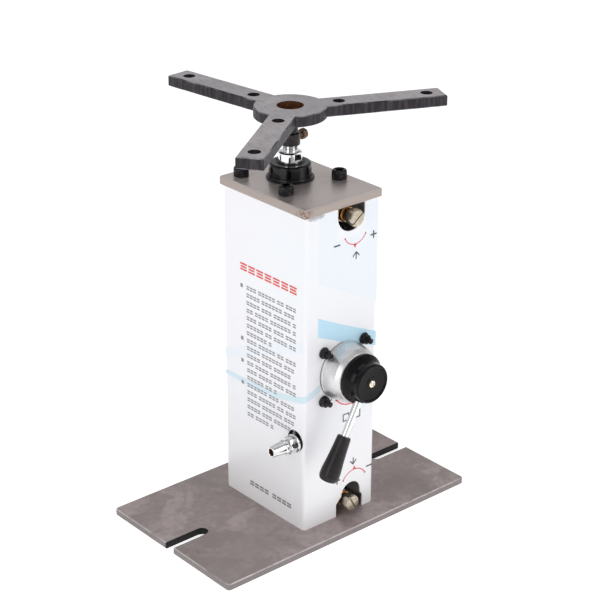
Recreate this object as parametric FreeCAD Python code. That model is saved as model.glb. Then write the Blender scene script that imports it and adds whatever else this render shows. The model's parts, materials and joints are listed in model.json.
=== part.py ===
import FreeCAD, Part
import math
import os

# Air-powered lifting jack: a steel base plate, a tall sheet-metal column with a
# square tie-rod cylinder inside it, a top plate, and a three-armed head on the
# piston rod.  A hand valve on the front face sends air to either cylinder port
# through a speed controller.
#
# Frame: millimetres, +Z up, origin at the centre of the base plate's underside,
# +X along the base plate's long side, -Y out of the face that carries the valve.
# The rod is fully retracted.

Vec = FreeCAD.Vector
UP = Vec(0, 0, 1)
RIGHT = Vec(1, 0, 0)
LEFT = Vec(-1, 0, 0)
FRONT = Vec(0, -1, 0)
BACK = Vec(0, 1, 0)
DOWN = Vec(0, 0, -1)
LOWER_ARM = Vec(-math.sqrt(0.5), 0, math.sqrt(0.5))

# ------------------------------------------------------------ driving sizes
# base plate
base_length = 340.0
base_width = 200.0
base_thickness = 8.0
base_corner_r = 4.0
base_slot_width = 14.0
base_slot_depth = 50.0
plate_chamfer = 1.0

# cylinder
stroke = 250.0
bore_d = 80.0
barrel_wall = 3.0
cap_side_margin = 14.0       # cap side minus bore
cap_height = 34.0
cap_corner_r = 7.0
barrel_seat = 5.0            # how deep the barrel sits in each cap
piston_height = 38.0
piston_end_gap = 1.0
tie_rod_d = 10.0
tie_rod_inset = 8.0          # bore minus tie-rod pitch
tie_nut_d = 16.0
tie_nut_length = 18.0
tie_rod_grip = 8.0           # tie-rod thread inside a nut
rod_d = 25.0
rod_core_d = 16.0            # rod's end through the piston and its nut
piston_gap = 0.3             # radial, piston to bore
lip_groove = 6.0
lip_depth = 5.0
lip_from_end = 4.0
wear_groove = 10.0
wear_depth = 2.5
cushion_d = 34.0
cushion_length = 22.0
cushion_bore_d = 36.0
cushion_bore_depth = 24.0
cushion_taper = 3.0
cushion_nut_floor = 2.0      # nut left solid below the rod's end
needle_d = 6.0
needle_length = 10.0
needle_out = 1.0
gland_d = 45.0
gland_above_top = 17.0
gland_edge_r = 3.0
bush_wall = 2.5
wiper_height = 5.0
wiper_lip = 1.2
gasket_d = 51.0
gasket_height = 4.0
gasket_bevel = 1.5

# rod end
rod_shoulder_above_gland = 12.0
rod_flat_height = 9.0
rod_flat_across = 22.0
stud_d = 16.0
stud_length = 19.0

# column
column_x = 6.0
column_y = -5.0
column_wall = 1.5
column_bend = 4.5
corner_gap = 0.5             # cap to the two nearest column walls
side_room = 2.0              # spare width on the other side
front_room = 34.5            # space for the valve and hoses
top_thickness = 10.0
top_overhang_x = 2.0
top_overhang_y = 1.5

# screws
screw_d = 10.0
screw_head_d = 16.0
screw_head_height = 10.0
screw_socket_across = 8.0
screw_socket_depth = 5.0
screw_grip = 9.0             # screw thread inside a tie-rod nut
screw_head_bevel = 1.0
base_screw_head_d = 19.0
base_screw_head_height = 4.5
base_screw_socket_across = 6.0
head_recess = 0.3

# three-armed head
arm_count = 3
arm_angle = 96.4             # first arm, degrees from +X
arm_reach = 166.0
arm_width = 28.0
head_thickness = 12.0
hub_d = 76.0
hub_bore_d = 28.0
hub_bore_depth = 8.0
arm_hole_d = 13.0
inner_hole_circle = 104.0
outer_hole_circle = 296.0
stem_d = 16.0
collar_d = 21.0
collar_height = 13.0
collar_bore_depth = 12.0
stem_neck = 16.5
set_bolt_d = 6.0
set_bolt_across = 10.0
set_bolt_head = 6.5
set_bolt_gap = 5.0           # bare thread between collar and head
set_bolt_angle = 6.0

# ports and speed controllers
port_offset = 11.0           # port to the right of the cylinder axis
lower_port_height = 15.0     # from a cap's outer face
upper_port_height = 11.5
port_d = 16.6
port_depth = 12.0
port_passage_d = 8.0
banjo_d = 23.0
banjo_height = 21.0
banjo_arm_d = 13.0
banjo_arm_length = 25.0
banjo_arm_height = 9.0       # arm axis from the cap face
collet_d = 15.0
collet_length = 9.0
controller_flange_across = 19.0
controller_flange_height = 2.5
bolt_end_gap = 1.0           # hollow bolt to the bottom of the port
seal_bore_depth = 10.0
seal_rest = 6.0              # seal from the outer end of its bore at rest
sleeve_d = 17.0
sleeve_height = 7.5
adjuster_across = 17.0
adjuster_head = 13.5
adjuster_gap = 1.2           # adjuster head to sleeve at rest
adjuster_turn = 10.0         # how the two hexagons stand
metering_needle_d = 8.0
metering_needle_start = 2.0  # needle tip from the cap's face
metering_needle_seat = 5.0   # needle end inside the adjuster's head
adjuster_slot_width = 1.6
adjuster_slot_depth = 2.0
adjuster_slot_angle = 35.0
sleeve_wall = 2.5
hose_bore_d = 5.0
seal_cord_d = 2.4

# openings in the column
window_half = 18.5
upper_window_below_port = 16.0
lower_window_half = 19.0
lower_window_shift = 3.0
lower_window_shoulder = 15.0   # shoulder above the base plate
lower_window_top = 36.0        # arch top above the base plate
lower_arch_half = 13.75
lower_arch_shift = 5.0
plug_hole_d = 24.0

# hand valve
valve_x = 10.0
valve_height = 176.0         # axis above the base plate
valve_bolt_pitch = 56.0
valve_flange_side = 72.0
valve_flange_thickness = 5.0
valve_hole_d = 66.0
valve_block_side = 44.0
valve_block_depth = 23.0
valve_chamber_d = 44.0
valve_port_depth = 12.0
dome_d = 65.0
dome_nose_d = 55.0
dome_height = 25.0
dome_shoulder = 5.0
dome_wall = 4.0
spindle_d = 12.0
spindle_shoulder = 3.0
rotor_d = 40.0
rotor_thickness = 6.0
rotor_slot = 6.0
rotor_pocket_d = 6.0
rotor_pocket_circle = 26.4
spring_d = 26.0
spring_wire = 2.5
spring_turns = 3.5
knob_gap = 0.5
knob_skirt_d = 54.0
knob_face_d = 43.0
knob_neck_d = 39.0
knob_height = 20.0
knob_socket = 9.0            # spindle end inside the knob
knob_rim = 3.6
knob_dish = 1.5
knob_screw_d = 8.5
knob_screw_height = 1.8
knob_screw_shank_d = 4.7
knob_screw_hole_d = 5.1
knob_screw_length = 12.0
knob_screw_cross_d = 4.8
knob_screw_cross_width = 1.4
knob_screw_cross_depth = 1.3
lever_angle = 28.0           # from straight down, towards -X
lever_rod_d = 8.0
lever_above_dome = 10.0      # lever axis in front of the dome's nose
lever_rod_start = 14.0
lever_rod_end = 72.0
grip_start = 62.0
grip_length = 51.0
grip_root_d = 15.0
grip_max_d = 21.5
grip_end_height = 8.2
valve_bolt_d = 6.0
valve_bolt_out = 12.5
valve_bolt_head = 4.0
valve_nut_across = 10.0
valve_nut_height = 6.0
valve_nut_flange_d = 13.0
valve_nut_flange_height = 1.8

# air supply
plug_y = -56.5
plug_height = 102.0          # axis above the base plate
plug_hole_up = 2.5           # the hole sits a little higher than the plug
plug_length = 33.0
plug_hex_across = 17.0
plug_bore_d = 8.0
plug_gap = 0.3               # plug flange to the column's side
plug_socket = 8.0            # pipe end inside the plug
plug_hex_end = 11.5
plug_flange_d = 20.4
plug_neck_d = 13.2
plug_collar_d = 16.2
plug_nose_d = 14.6
plug_tip_d = 11.8
pipe_d = 13.4
pipe_wall = 2.5
elbow_d = 20.0
elbow_socket = 7.0           # pipe ends from the elbow's corner
elbow_arm = 14.0             # elbow ends from its corner
riser_end_gap = 2.0
hose_d = 8.0
hose_fit = 0.1               # radial room around a hose end
hose_entry = 8.0             # how far a hose goes into a fitting
hose_end_gap = 0.5
fitting_nut_across = 14.0
fitting_nut_height = 6.0
fitting_length = 18.0
fitting_collet_d = 14.0
fitting_elbow_d = 12.0
upper_hose_straight = 22.0
silencer_d = 13.0
silencer_length = 13.0
silencer_tip_d = 7.0

# clearances
slide_fit = 0.05             # radial, moving parts in their bores
still_fit = 0.1              # radial, parts that stay put
hole_clearance = 0.5         # radial, through holes for screws

# ------------------------------------------------------------ derived sizes
cap_side = bore_d + cap_side_margin
tie_pitch = bore_d - tie_rod_inset
barrel_od = bore_d + 2 * barrel_wall
column_height = 2 * cap_height + stroke + piston_height + 2 * piston_end_gap
column_width = cap_side + 2 * column_wall + corner_gap + side_room + corner_gap
column_depth = cap_side + 2 * column_wall + corner_gap + front_room
column_base_z = base_thickness
column_top_z = column_base_z + column_height
top_plate_z = column_top_z + top_thickness
face_y = column_y - column_depth / 2
back_y = column_y + column_depth / 2
left_x = column_x - column_width / 2
right_x = column_x + column_width / 2
axis_x = right_x - column_wall - corner_gap - cap_side / 2
axis_y = back_y - column_wall - corner_gap - cap_side / 2
cap_front_y = axis_y - cap_side / 2
rear_cap_top_z = column_base_z + cap_height
front_cap_z = column_top_z - cap_height
bush_z = front_cap_z + cushion_bore_depth
barrel_z = rear_cap_top_z - barrel_seat
barrel_length = front_cap_z + barrel_seat - barrel_z
piston_z = rear_cap_top_z + piston_end_gap
piston_top_z = piston_z + piston_height
gland_top_z = top_plate_z + gland_above_top
rod_shoulder_z = gland_top_z + rod_shoulder_above_gland
stud_top_z = rod_shoulder_z + stud_length
collar_z = stud_top_z - collar_bore_depth
collar_top_z = collar_z + collar_height
head_z = collar_top_z + stem_neck
head_top_z = head_z + head_thickness
port_x = axis_x + port_offset
needle_x = axis_x - 2 * port_offset
lower_port_z = column_base_z + lower_port_height
upper_port_z = column_top_z - upper_port_height
valve_z = base_thickness + valve_height
plug_z = base_thickness + plug_height
flange_front_y = face_y + column_wall
block_front_y = flange_front_y + valve_flange_thickness
block_back_y = block_front_y + valve_block_depth
block_mid_y = block_front_y + valve_block_depth / 2
dome_nose_y = face_y - dome_height
knob_back_y = dome_nose_y - knob_gap
knob_front_y = knob_back_y - knob_height
lever_y = dome_nose_y - lever_above_dome


# ------------------------------------------------------------ shape helpers
def box(x0, x1, y0, y1, z0, z1):
    return Part.makeBox(x1 - x0, y1 - y0, z1 - z0, Vec(x0, y0, z0))


def rod(start, direction, diameter, length):
    return Part.makeCylinder(diameter / 2, length, start, direction)


def tube(start, direction, outer_d, inner_d, length):
    return rod(start, direction, outer_d, length).cut(rod(start, direction, inner_d, length))


def ring(centre, direction, mean_d, cord_d):
    return Part.makeTorus(mean_d / 2, cord_d / 2, centre, direction)


def aligned(shape, start, direction, turn=0.0):
    """Turn a shape built along +Z at the origin to point along direction at start."""
    placed = shape.copy()
    placed.rotate(Vec(0, 0, 0), UP, turn)
    placed.Placement = FreeCAD.Placement(start, FreeCAD.Rotation(UP, direction)).multiply(
        placed.Placement)
    return placed


def hexagon(start, direction, across, length, turn=0.0):
    corner = across / math.sqrt(3)
    corners = [Vec(corner * math.cos(math.radians(60 * i)),
                   corner * math.sin(math.radians(60 * i)), 0) for i in range(7)]
    prism = Part.Face(Part.makePolygon(corners)).extrude(Vec(0, 0, length))
    return aligned(prism, start, direction, turn)


def turned(profile, start, direction, turn=0.0):
    """Solid of revolution from (radius, height) points, in order round the section."""
    points = [Vec(radius, 0, height) for radius, height in profile]
    section = Part.Face(Part.makePolygon(points + points[:1]))
    return aligned(section.revolve(Vec(0, 0, 0), UP, 360), start, direction, turn)


def chamfer_at_height(shape, heights, size):
    edges = [edge for edge in shape.Edges
             if any(abs(edge.BoundBox.ZMin - z) < 1e-6 and abs(edge.BoundBox.ZMax - z) < 1e-6
                    for z in heights)]
    return shape.makeChamfer(size, edges)


def hex_head(start, direction, across, height, turn=0.0):
    """Hexagon with its outer corners turned off to a cone."""
    corner = across / math.sqrt(3)
    drop = (corner - across / 2) * 0.75
    blank = turned([(0, 0), (corner, 0), (corner, height - drop), (across / 2, height),
                    (0, height)], start, direction)
    return hexagon(start, direction, across, height, turn).common(blank)


def radial(angle):
    """Level unit vector at an angle from +X."""
    return Vec(math.cos(math.radians(angle)), math.sin(math.radians(angle)), 0)


def joined(shapes):
    whole = shapes[0]
    for shape in shapes[1:]:
        whole = whole.fuse(shape)
    return whole.removeSplitter()


def without(shape, cutters):
    for cutter in cutters:
        shape = shape.cut(cutter)
    return shape


def square_places(centre_x, centre_y, pitch):
    half = pitch / 2
    return [(centre_x + sx * half, centre_y + sy * half) for sx in (-1, 1) for sy in (-1, 1)]


def hose_route(points):
    """Straight runs joined by tangent arcs; each arc is as large as its runs allow."""
    edges = []
    here = points[0]
    for before, corner, after in zip(points, points[1:], points[2:]):
        come = (corner - before).normalize()
        leave = (after - corner).normalize()
        half_turn = come.getAngle(leave) / 2
        shorter = min((corner - before).Length, (after - corner).Length)
        tangent = 0.45 * shorter
        radius = tangent / math.tan(half_turn)
        start = corner - come * tangent
        end = corner + leave * tangent
        inward = (leave - come).normalize()
        middle = corner + inward * (radius / math.cos(half_turn) - radius)
        edges.append(Part.LineSegment(here, start).toShape())
        edges.append(Part.Arc(start, middle, end).toShape())
        print("hose bend radius", round(radius, 1))
        here = end
    edges.append(Part.LineSegment(here, points[-1]).toShape())
    return Part.Wire(edges)


def hose(points):
    route = hose_route(points)
    first = (points[1] - points[0]).normalize()
    section = Part.Wire(Part.makeCircle(hose_d / 2, points[0], first))
    solid = route.makePipeShell([section], True, False)
    expected = math.pi * hose_d ** 2 / 4 * route.Length
    print("hose length", round(route.Length, 1), "volume ratio",
          round(solid.Volume / expected, 4))
    return solid


# ------------------------------------------------------------ frame of the jack
def base_plate():
    half_l = base_length / 2
    half_w = base_width / 2
    plate = box(-half_l, half_l, -half_w, half_w, 0, base_thickness)
    plate = plate.makeFillet(base_corner_r, upright_edges(plate))
    plate = chamfer_at_height(plate, [0, base_thickness], plate_chamfer)
    cuts = []
    slot_r = base_slot_width / 2
    for side in (-1, 1):
        inner = side * (half_l - base_slot_depth + slot_r)
        outer = side * (half_l + plate_chamfer)
        cuts.append(rod(Vec(inner, 0, 0), UP, base_slot_width, base_thickness))
        cuts.append(box(min(inner, outer), max(inner, outer), -slot_r, slot_r,
                        0, base_thickness))
    for x, y in square_places(axis_x, axis_y, tie_pitch):
        cuts.append(rod(Vec(x, y, 0), UP, screw_d + 2 * hole_clearance, base_thickness))
        wide = base_screw_head_d / 2 + hole_clearance
        narrow = screw_d / 2 + hole_clearance
        cone_end = head_recess + base_screw_head_height
        cuts.append(turned([(0, 0), (wide, 0), (wide, head_recess), (narrow, cone_end),
                            (0, cone_end)], Vec(x, y, 0), UP))
    return without(plate, cuts)


def column_cover():
    outer = box(left_x, right_x, face_y, back_y, column_base_z, column_top_z)
    inner = box(left_x + column_wall, right_x - column_wall, face_y + column_wall,
                back_y - column_wall, column_base_z, column_top_z)
    outer = outer.makeFillet(column_bend, upright_edges(outer))
    inner = inner.makeFillet(column_bend - column_wall, upright_edges(inner))
    through = 4 * column_wall
    cuts = [inner]
    cuts += upper_window(through)
    cuts += lower_window(through)
    cuts.append(rod(Vec(valve_x, face_y - column_wall, valve_z), BACK, valve_hole_d, through))
    for x, z in square_places(valve_x, valve_z, valve_bolt_pitch):
        cuts.append(rod(Vec(x, face_y - column_wall, z), BACK,
                        valve_bolt_d + 2 * hole_clearance, through))
    cuts.append(rod(Vec(left_x - column_wall, plug_y, plug_z + plug_hole_up), RIGHT,
                    plug_hole_d, through))
    return without(outer, cuts)


def upright_edges(block):
    return [edge for edge in block.Edges
            if edge.BoundBox.ZMax - edge.BoundBox.ZMin > 1
            and edge.BoundBox.XMax - edge.BoundBox.XMin < 1e-6
            and edge.BoundBox.YMax - edge.BoundBox.YMin < 1e-6]


def upper_window(through):
    start_y = face_y - column_wall
    centre_z = upper_port_z - upper_window_below_port + window_half
    round_end = rod(Vec(port_x, start_y, centre_z), BACK, 2 * window_half, through)
    straight = box(port_x - window_half, port_x + window_half, start_y, start_y + through,
                   centre_z, column_top_z)
    return [round_end, straight]


def lower_window(through):
    start_y = face_y - column_wall
    shoulder_z = column_base_z + lower_window_shoulder
    arch_x = port_x + lower_arch_shift
    arch_z = column_base_z + lower_window_top - lower_arch_half
    wide_x = port_x + lower_window_shift
    slope = lower_window_half / 2
    outline = [(wide_x - lower_window_half, column_base_z),
               (wide_x - lower_window_half, shoulder_z),
               (wide_x - lower_window_half + slope, shoulder_z + slope),
               (wide_x + lower_window_half - slope, shoulder_z + slope),
               (wide_x + lower_window_half, shoulder_z),
               (wide_x + lower_window_half, column_base_z)]
    corners = [Vec(x, start_y, z) for x, z in outline]
    wide = Part.Face(Part.makePolygon(corners + corners[:1])).extrude(Vec(0, through, 0))
    arch = rod(Vec(arch_x, start_y, arch_z), BACK, 2 * lower_arch_half, through)
    throat = box(arch_x - lower_arch_half, arch_x + lower_arch_half, start_y,
                 start_y + through, shoulder_z, arch_z)
    return [wide, arch, throat]


def top_plate():
    plate = box(left_x - top_overhang_x, right_x + top_overhang_x,
                face_y - top_overhang_y, back_y + top_overhang_y,
                column_top_z, top_plate_z)
    plate = chamfer_at_height(plate, [column_top_z, top_plate_z], plate_chamfer)
    cuts = [rod(Vec(axis_x, axis_y, column_top_z), UP, gland_d + 2 * hole_clearance,
                top_thickness)]
    for x, y in square_places(axis_x, axis_y, tie_pitch):
        cuts.append(rod(Vec(x, y, column_top_z), UP, screw_d + 2 * hole_clearance,
                        top_thickness))
    return without(plate, cuts)


def top_screws():
    screws = []
    grip = top_thickness + screw_grip
    for x, y in square_places(axis_x, axis_y, tie_pitch):
        head = turned([(0, 0), (screw_head_d / 2, 0),
                       (screw_head_d / 2, screw_head_height - screw_head_bevel),
                       (screw_head_d / 2 - screw_head_bevel, screw_head_height),
                       (0, screw_head_height)],
                      Vec(x, y, top_plate_z), UP)
        shank = rod(Vec(x, y, top_plate_z - grip), UP, screw_d, grip)
        socket = hexagon(Vec(x, y, top_plate_z + screw_head_height - screw_socket_depth), UP,
                         screw_socket_across, screw_socket_depth)
        screws.append(joined([head, shank]).cut(socket))
    return Part.Compound(screws)


def base_screws():
    screws = []
    length = base_thickness + screw_grip - head_recess
    cone_end = base_screw_head_height
    for x, y in square_places(axis_x, axis_y, tie_pitch):
        screw = turned([(0, 0), (base_screw_head_d / 2, 0), (screw_d / 2, cone_end),
                        (screw_d / 2, length), (0, length)], Vec(x, y, head_recess), UP)
        socket = hexagon(Vec(x, y, head_recess), UP, base_screw_socket_across,
                         screw_socket_depth)
        screws.append(screw.cut(socket))
    return Part.Compound(screws)


# ------------------------------------------------------------ cylinder
def cap_block(z, height):
    block = box(axis_x - cap_side / 2, axis_x + cap_side / 2, axis_y - cap_side / 2,
                axis_y + cap_side / 2, z, z + height)
    return block.makeFillet(cap_corner_r, upright_edges(block))


def cap_cuts(outer_z, inward, port_z):
    """Tie-rod holes, barrel groove, cushion bore and port of one cap."""
    cuts = []
    inner_z = outer_z + inward.z * cap_height
    for x, y in square_places(axis_x, axis_y, tie_pitch):
        cuts.append(rod(Vec(x, y, outer_z), inward, tie_nut_d + 2 * still_fit,
                        tie_nut_length + still_fit))
        cuts.append(rod(Vec(x, y, outer_z), inward, tie_rod_d + 2 * still_fit, cap_height))
    groove = tube(Vec(axis_x, axis_y, inner_z), inward * -1, barrel_od + 2 * still_fit,
                  bore_d - 2 * still_fit, barrel_seat)
    cuts.append(groove)
    seal_seat = tube(Vec(axis_x, axis_y, inner_z) - inward * (barrel_seat / 2 + seal_cord_d / 2),
                     inward, bore_d, bore_d - 2 * seal_cord_d, seal_cord_d)
    cuts.append(seal_seat)
    cuts.append(rod(Vec(axis_x, axis_y, inner_z), inward * -1, cushion_bore_d,
                    cushion_bore_depth))
    cuts.append(needle_hole(port_z))
    cuts.append(rod(Vec(port_x, cap_front_y, port_z), BACK, port_d, port_depth))
    cuts.append(rod(Vec(port_x, cap_front_y, port_z), BACK, port_passage_d,
                    cap_side / 2 - cushion_bore_d / 4))
    return cuts


def rear_end_cap():
    return without(cap_block(column_base_z, cap_height),
                   cap_cuts(column_base_z, UP, lower_port_z))


def bush_hole():
    return rod(Vec(axis_x, axis_y, bush_z), UP, rod_d + 2 * bush_wall + 2 * still_fit,
               gland_top_z - bush_z)


def front_end_cap():
    return without(cap_block(front_cap_z, cap_height),
                   cap_cuts(column_top_z, DOWN, upper_port_z) + [bush_hole()])


def rod_gland():
    """Round black boss on the front cap that guides the rod through the top plate."""
    boss = rod(Vec(axis_x, axis_y, column_top_z), UP, gland_d, gland_top_z - column_top_z)
    rim = [edge for edge in boss.Edges
           if abs(edge.BoundBox.ZMin - gland_top_z) < 1e-6 and edge.Length > gland_d]
    return boss.makeFillet(gland_edge_r, rim).cut(bush_hole())


def rod_bush():
    return tube(Vec(axis_x, axis_y, bush_z), UP, rod_d + 2 * bush_wall,
                rod_d + 2 * slide_fit, gland_top_z - wiper_height - bush_z)


def rod_wiper():
    """Rubber wiper ring pressed in the mouth of the boss, with a raised lip."""
    outer = rod_d / 2 + bush_wall
    inner = rod_d / 2 + slide_fit
    lip_z = wiper_height + wiper_lip
    return turned([(inner, 0), (outer, 0), (outer, wiper_height),
                   (inner + wiper_lip, wiper_height), (inner + wiper_lip / 2, lip_z),
                   (inner, lip_z)],
                  Vec(axis_x, axis_y, gland_top_z - wiper_height), UP)


def gland_gasket():
    """Black ring around the gland where it comes through the top plate."""
    inner = gland_d / 2 + still_fit
    outer = gasket_d / 2
    return turned([(inner, 0), (outer, 0), (outer, gasket_height - gasket_bevel),
                   (outer - gasket_bevel, gasket_height), (inner, gasket_height)],
                  Vec(axis_x, axis_y, top_plate_z), UP)


def barrel():
    return tube(Vec(axis_x, axis_y, barrel_z), UP, barrel_od, bore_d, barrel_length)


def barrel_seals():
    """One O-ring in each cap's spigot."""
    middles = [rear_cap_top_z - barrel_seat / 2, front_cap_z + barrel_seat / 2]
    mean = bore_d - seal_cord_d
    return Part.Compound([ring(Vec(axis_x, axis_y, z), UP, mean, seal_cord_d - 2 * slide_fit)
                          for z in middles])


def tie_rods():
    start = column_base_z + tie_nut_length - tie_rod_grip
    length = column_height - 2 * (tie_nut_length - tie_rod_grip)
    return Part.Compound([rod(Vec(x, y, start), UP, tie_rod_d, length)
                          for x, y in square_places(axis_x, axis_y, tie_pitch)])


def tie_rod_nuts():
    nuts = []
    for x, y in square_places(axis_x, axis_y, tie_pitch):
        for z in (column_base_z, column_top_z - tie_nut_length):
            nuts.append(tube(Vec(x, y, z), UP, tie_nut_d, tie_rod_d + still_fit,
                             tie_nut_length))
    return Part.Compound(nuts)


def cushion_needles():
    """Small screws in the cap faces that set the end cushioning."""
    return Part.Compound([rod(Vec(needle_x, cap_front_y - needle_out, z), BACK, needle_d,
                              needle_length) for z in (lower_port_z, upper_port_z)])


def needle_hole(z):
    return rod(Vec(needle_x, cap_front_y, z), BACK, needle_d + 2 * still_fit,
               needle_length - needle_out + still_fit)


# ------------------------------------------------------------ piston and rod
def piston_rod():
    core_z = piston_z - cushion_length + cushion_nut_floor
    body = joined([rod(Vec(axis_x, axis_y, piston_top_z), UP, rod_d,
                       rod_shoulder_z - piston_top_z),
                   rod(Vec(axis_x, axis_y, core_z), UP, rod_core_d, piston_top_z - core_z),
                   rod(Vec(axis_x, axis_y, rod_shoulder_z), UP, stud_d, stud_length)])
    body = chamfer_at_height(body, [rod_shoulder_z + stud_length], plate_chamfer)
    flats_z = rod_shoulder_z - rod_flat_height
    reach = rod_d
    cuts = []
    for side in (-1, 1):
        near = side * rod_flat_across / 2
        far = side * reach
        flat = box(min(near, far), max(near, far), -reach, reach, 0, rod_flat_height)
        flat.rotate(Vec(0, 0, 0), UP, arm_angle)
        flat.translate(Vec(axis_x, axis_y, flats_z))
        cuts.append(flat)
    return without(body, cuts)


def piston_groove(z, height, depth):
    radius = bore_d / 2
    return tube(Vec(axis_x, axis_y, z), UP, 2 * radius + 2, 2 * (radius - depth), height)


def seal_band(z, height, depth):
    return tube(Vec(axis_x, axis_y, z + slide_fit), UP, bore_d - 2 * slide_fit,
                bore_d - 2 * depth + 2 * slide_fit, height - 2 * slide_fit)


def piston_levels():
    """Bottoms of the lower lip groove, the wear-ring groove and the upper lip groove."""
    middle = piston_z + piston_height / 2
    upper_lip = piston_top_z - lip_groove - lip_from_end
    return piston_z + lip_from_end, middle - wear_groove / 2, upper_lip


def piston():
    lower_lip, wear, upper_lip = piston_levels()
    body = rod(Vec(axis_x, axis_y, piston_z), UP, bore_d - 2 * piston_gap, piston_height)
    cuts = [rod(Vec(axis_x, axis_y, piston_z), UP, rod_core_d + 2 * still_fit,
                piston_height),
            piston_groove(lower_lip, lip_groove, lip_depth),
            piston_groove(upper_lip, lip_groove, lip_depth),
            piston_groove(wear, wear_groove, wear_depth)]
    return without(body, cuts)


def piston_seals():
    lower_lip, _, upper_lip = piston_levels()
    return Part.Compound([seal_band(lower_lip, lip_groove, lip_depth),
                          seal_band(upper_lip, lip_groove, lip_depth)])


def wear_ring():
    _, wear, _ = piston_levels()
    return seal_band(wear, wear_groove, wear_depth)


def piston_nut():
    """Round nut below the piston that is also the rear cushion spear."""
    bottom = piston_z - cushion_length
    outer = cushion_d / 2
    nut = turned([(0, 0), (outer - cushion_taper, 0), (outer, cushion_taper),
                  (outer, cushion_length), (0, cushion_length)],
                 Vec(axis_x, axis_y, bottom), UP)
    return nut.cut(rod(Vec(axis_x, axis_y, bottom + cushion_nut_floor - still_fit), UP,
                       rod_core_d + 2 * still_fit, cushion_length))


def cushion_sleeve():
    """Front cushion spear, a sleeve on the rod above the piston."""
    outer = cushion_d / 2
    inner = rod_d / 2 + still_fit
    return turned([(inner, 0), (outer, 0), (outer, cushion_length - cushion_taper),
                   (outer - cushion_taper, cushion_length), (inner, cushion_length)],
                  Vec(axis_x, axis_y, piston_top_z), UP)


# ------------------------------------------------------------ three-armed head
def head_spider():
    hub = rod(Vec(axis_x, axis_y, head_z), UP, hub_d, head_thickness)
    arms = []
    holes = []
    for i in range(arm_count):
        angle = arm_angle + 360.0 / arm_count * i
        arm = box(0, arm_reach, -arm_width / 2, arm_width / 2, 0, head_thickness)
        arm.rotate(Vec(0, 0, 0), UP, angle)
        arm.translate(Vec(axis_x, axis_y, head_z))
        arms.append(arm)
        out = radial(angle)
        for circle in (inner_hole_circle, outer_hole_circle):
            place = Vec(axis_x, axis_y, head_z) + out * (circle / 2)
            holes.append(rod(place, UP, arm_hole_d, head_thickness))
    blank = joined([hub] + arms)
    blank = chamfer_at_height(blank, [head_z, head_top_z], plate_chamfer)
    bore = rod(Vec(axis_x, axis_y, head_top_z - hub_bore_depth), UP, hub_bore_d,
               hub_bore_depth)
    stem_hole = rod(Vec(axis_x, axis_y, head_z), UP, stem_d + 2 * still_fit, head_thickness)
    return without(blank, holes + [bore, stem_hole])


def head_stem():
    """Collar that slips over the rod's stud, with a neck up to the hub."""
    collar = rod(Vec(axis_x, axis_y, collar_z), UP, collar_d, collar_height)
    collar = chamfer_at_height(collar, [collar_z, collar_top_z], plate_chamfer)
    neck_top = head_top_z - hub_bore_depth
    neck = rod(Vec(axis_x, axis_y, collar_top_z), UP, stem_d, neck_top - collar_top_z)
    stem = joined([collar, neck])
    pocket = rod(Vec(axis_x, axis_y, collar_z), UP, stud_d + 2 * slide_fit,
                 collar_bore_depth + slide_fit)
    out = radial(set_bolt_angle)
    level = Vec(axis_x, axis_y, collar_z + collar_height / 2)
    thread = rod(level, out, set_bolt_d + 2 * still_fit, collar_d)
    return without(stem, [pocket, thread])


def set_bolt():
    """Hexagon bolt whose tip presses on the rod's stud."""
    out = radial(set_bolt_angle)
    level = Vec(axis_x, axis_y, collar_z + collar_height / 2)
    tip = stud_d / 2 + slide_fit
    head_at = collar_d / 2 + set_bolt_gap
    shank = rod(level + out * tip, out, set_bolt_d, head_at - tip)
    return joined([shank, hex_head(level + out * head_at, out, set_bolt_across,
                                   set_bolt_head)])


# ------------------------------------------------------------ speed controllers
def controller_levels():
    """Distances out of the cap face: banjo, flange, sleeve and adjuster head."""
    flange = banjo_height
    sleeve = flange + controller_flange_height
    adjuster = sleeve + sleeve_height + adjuster_gap
    return flange, sleeve, adjuster


def port_point(port_z, out):
    return Vec(port_x, cap_front_y - out, port_z)


def banjo_body(port_z, arm_direction):
    arm_at = port_point(port_z, banjo_arm_height)
    body = joined([rod(port_point(port_z, 0), FRONT, banjo_d, banjo_height),
                   rod(arm_at, arm_direction, banjo_arm_d, banjo_arm_length),
                   rod(arm_at + arm_direction * (banjo_arm_length - collet_length),
                       arm_direction, collet_d, collet_length)])
    cuts = [rod(port_point(port_z, 0), FRONT, port_d, banjo_height),
            rod(arm_at, arm_direction, hose_bore_d, banjo_arm_length),
            rod(arm_at + arm_direction * (banjo_arm_length - hose_entry), arm_direction,
                hose_d + 2 * hose_fit, hose_entry)]
    return without(body, cuts)


def hollow_bolt(port_z):
    """Bolt that clamps the banjo to the port and carries the adjuster."""
    flange, sleeve, _ = controller_levels()
    shank_d = port_d - 2 * still_fit
    start = port_point(port_z, bolt_end_gap - port_depth)
    body = joined([rod(start, FRONT, shank_d, port_depth - bolt_end_gap + flange),
                   hex_head(port_point(port_z, flange), FRONT, controller_flange_across,
                            controller_flange_height),
                   rod(port_point(port_z, sleeve), FRONT, sleeve_d - 2 * sleeve_wall,
                       sleeve_height)])
    seal_bore = metering_needle_d + seal_cord_d
    arm_at = port_point(port_z, banjo_arm_height)
    cuts = [rod(start, FRONT, metering_needle_d + 2 * slide_fit,
                port_depth + sleeve + sleeve_height),
            rod(port_point(port_z, sleeve - seal_bore_depth), FRONT, seal_bore,
                seal_bore_depth),
            rod(arm_at + LEFT * shank_d, RIGHT, hose_bore_d, 2 * shank_d),
            rod(arm_at + DOWN * shank_d, UP, hose_bore_d, 2 * shank_d)]
    return without(body, cuts)


def metering_sleeve(port_z):
    """Bronze sleeve between the hollow bolt's flange and the adjuster's head."""
    _, sleeve, _ = controller_levels()
    return tube(port_point(port_z, sleeve), FRONT, sleeve_d,
                sleeve_d - 2 * sleeve_wall + 2 * still_fit, sleeve_height)


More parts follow.
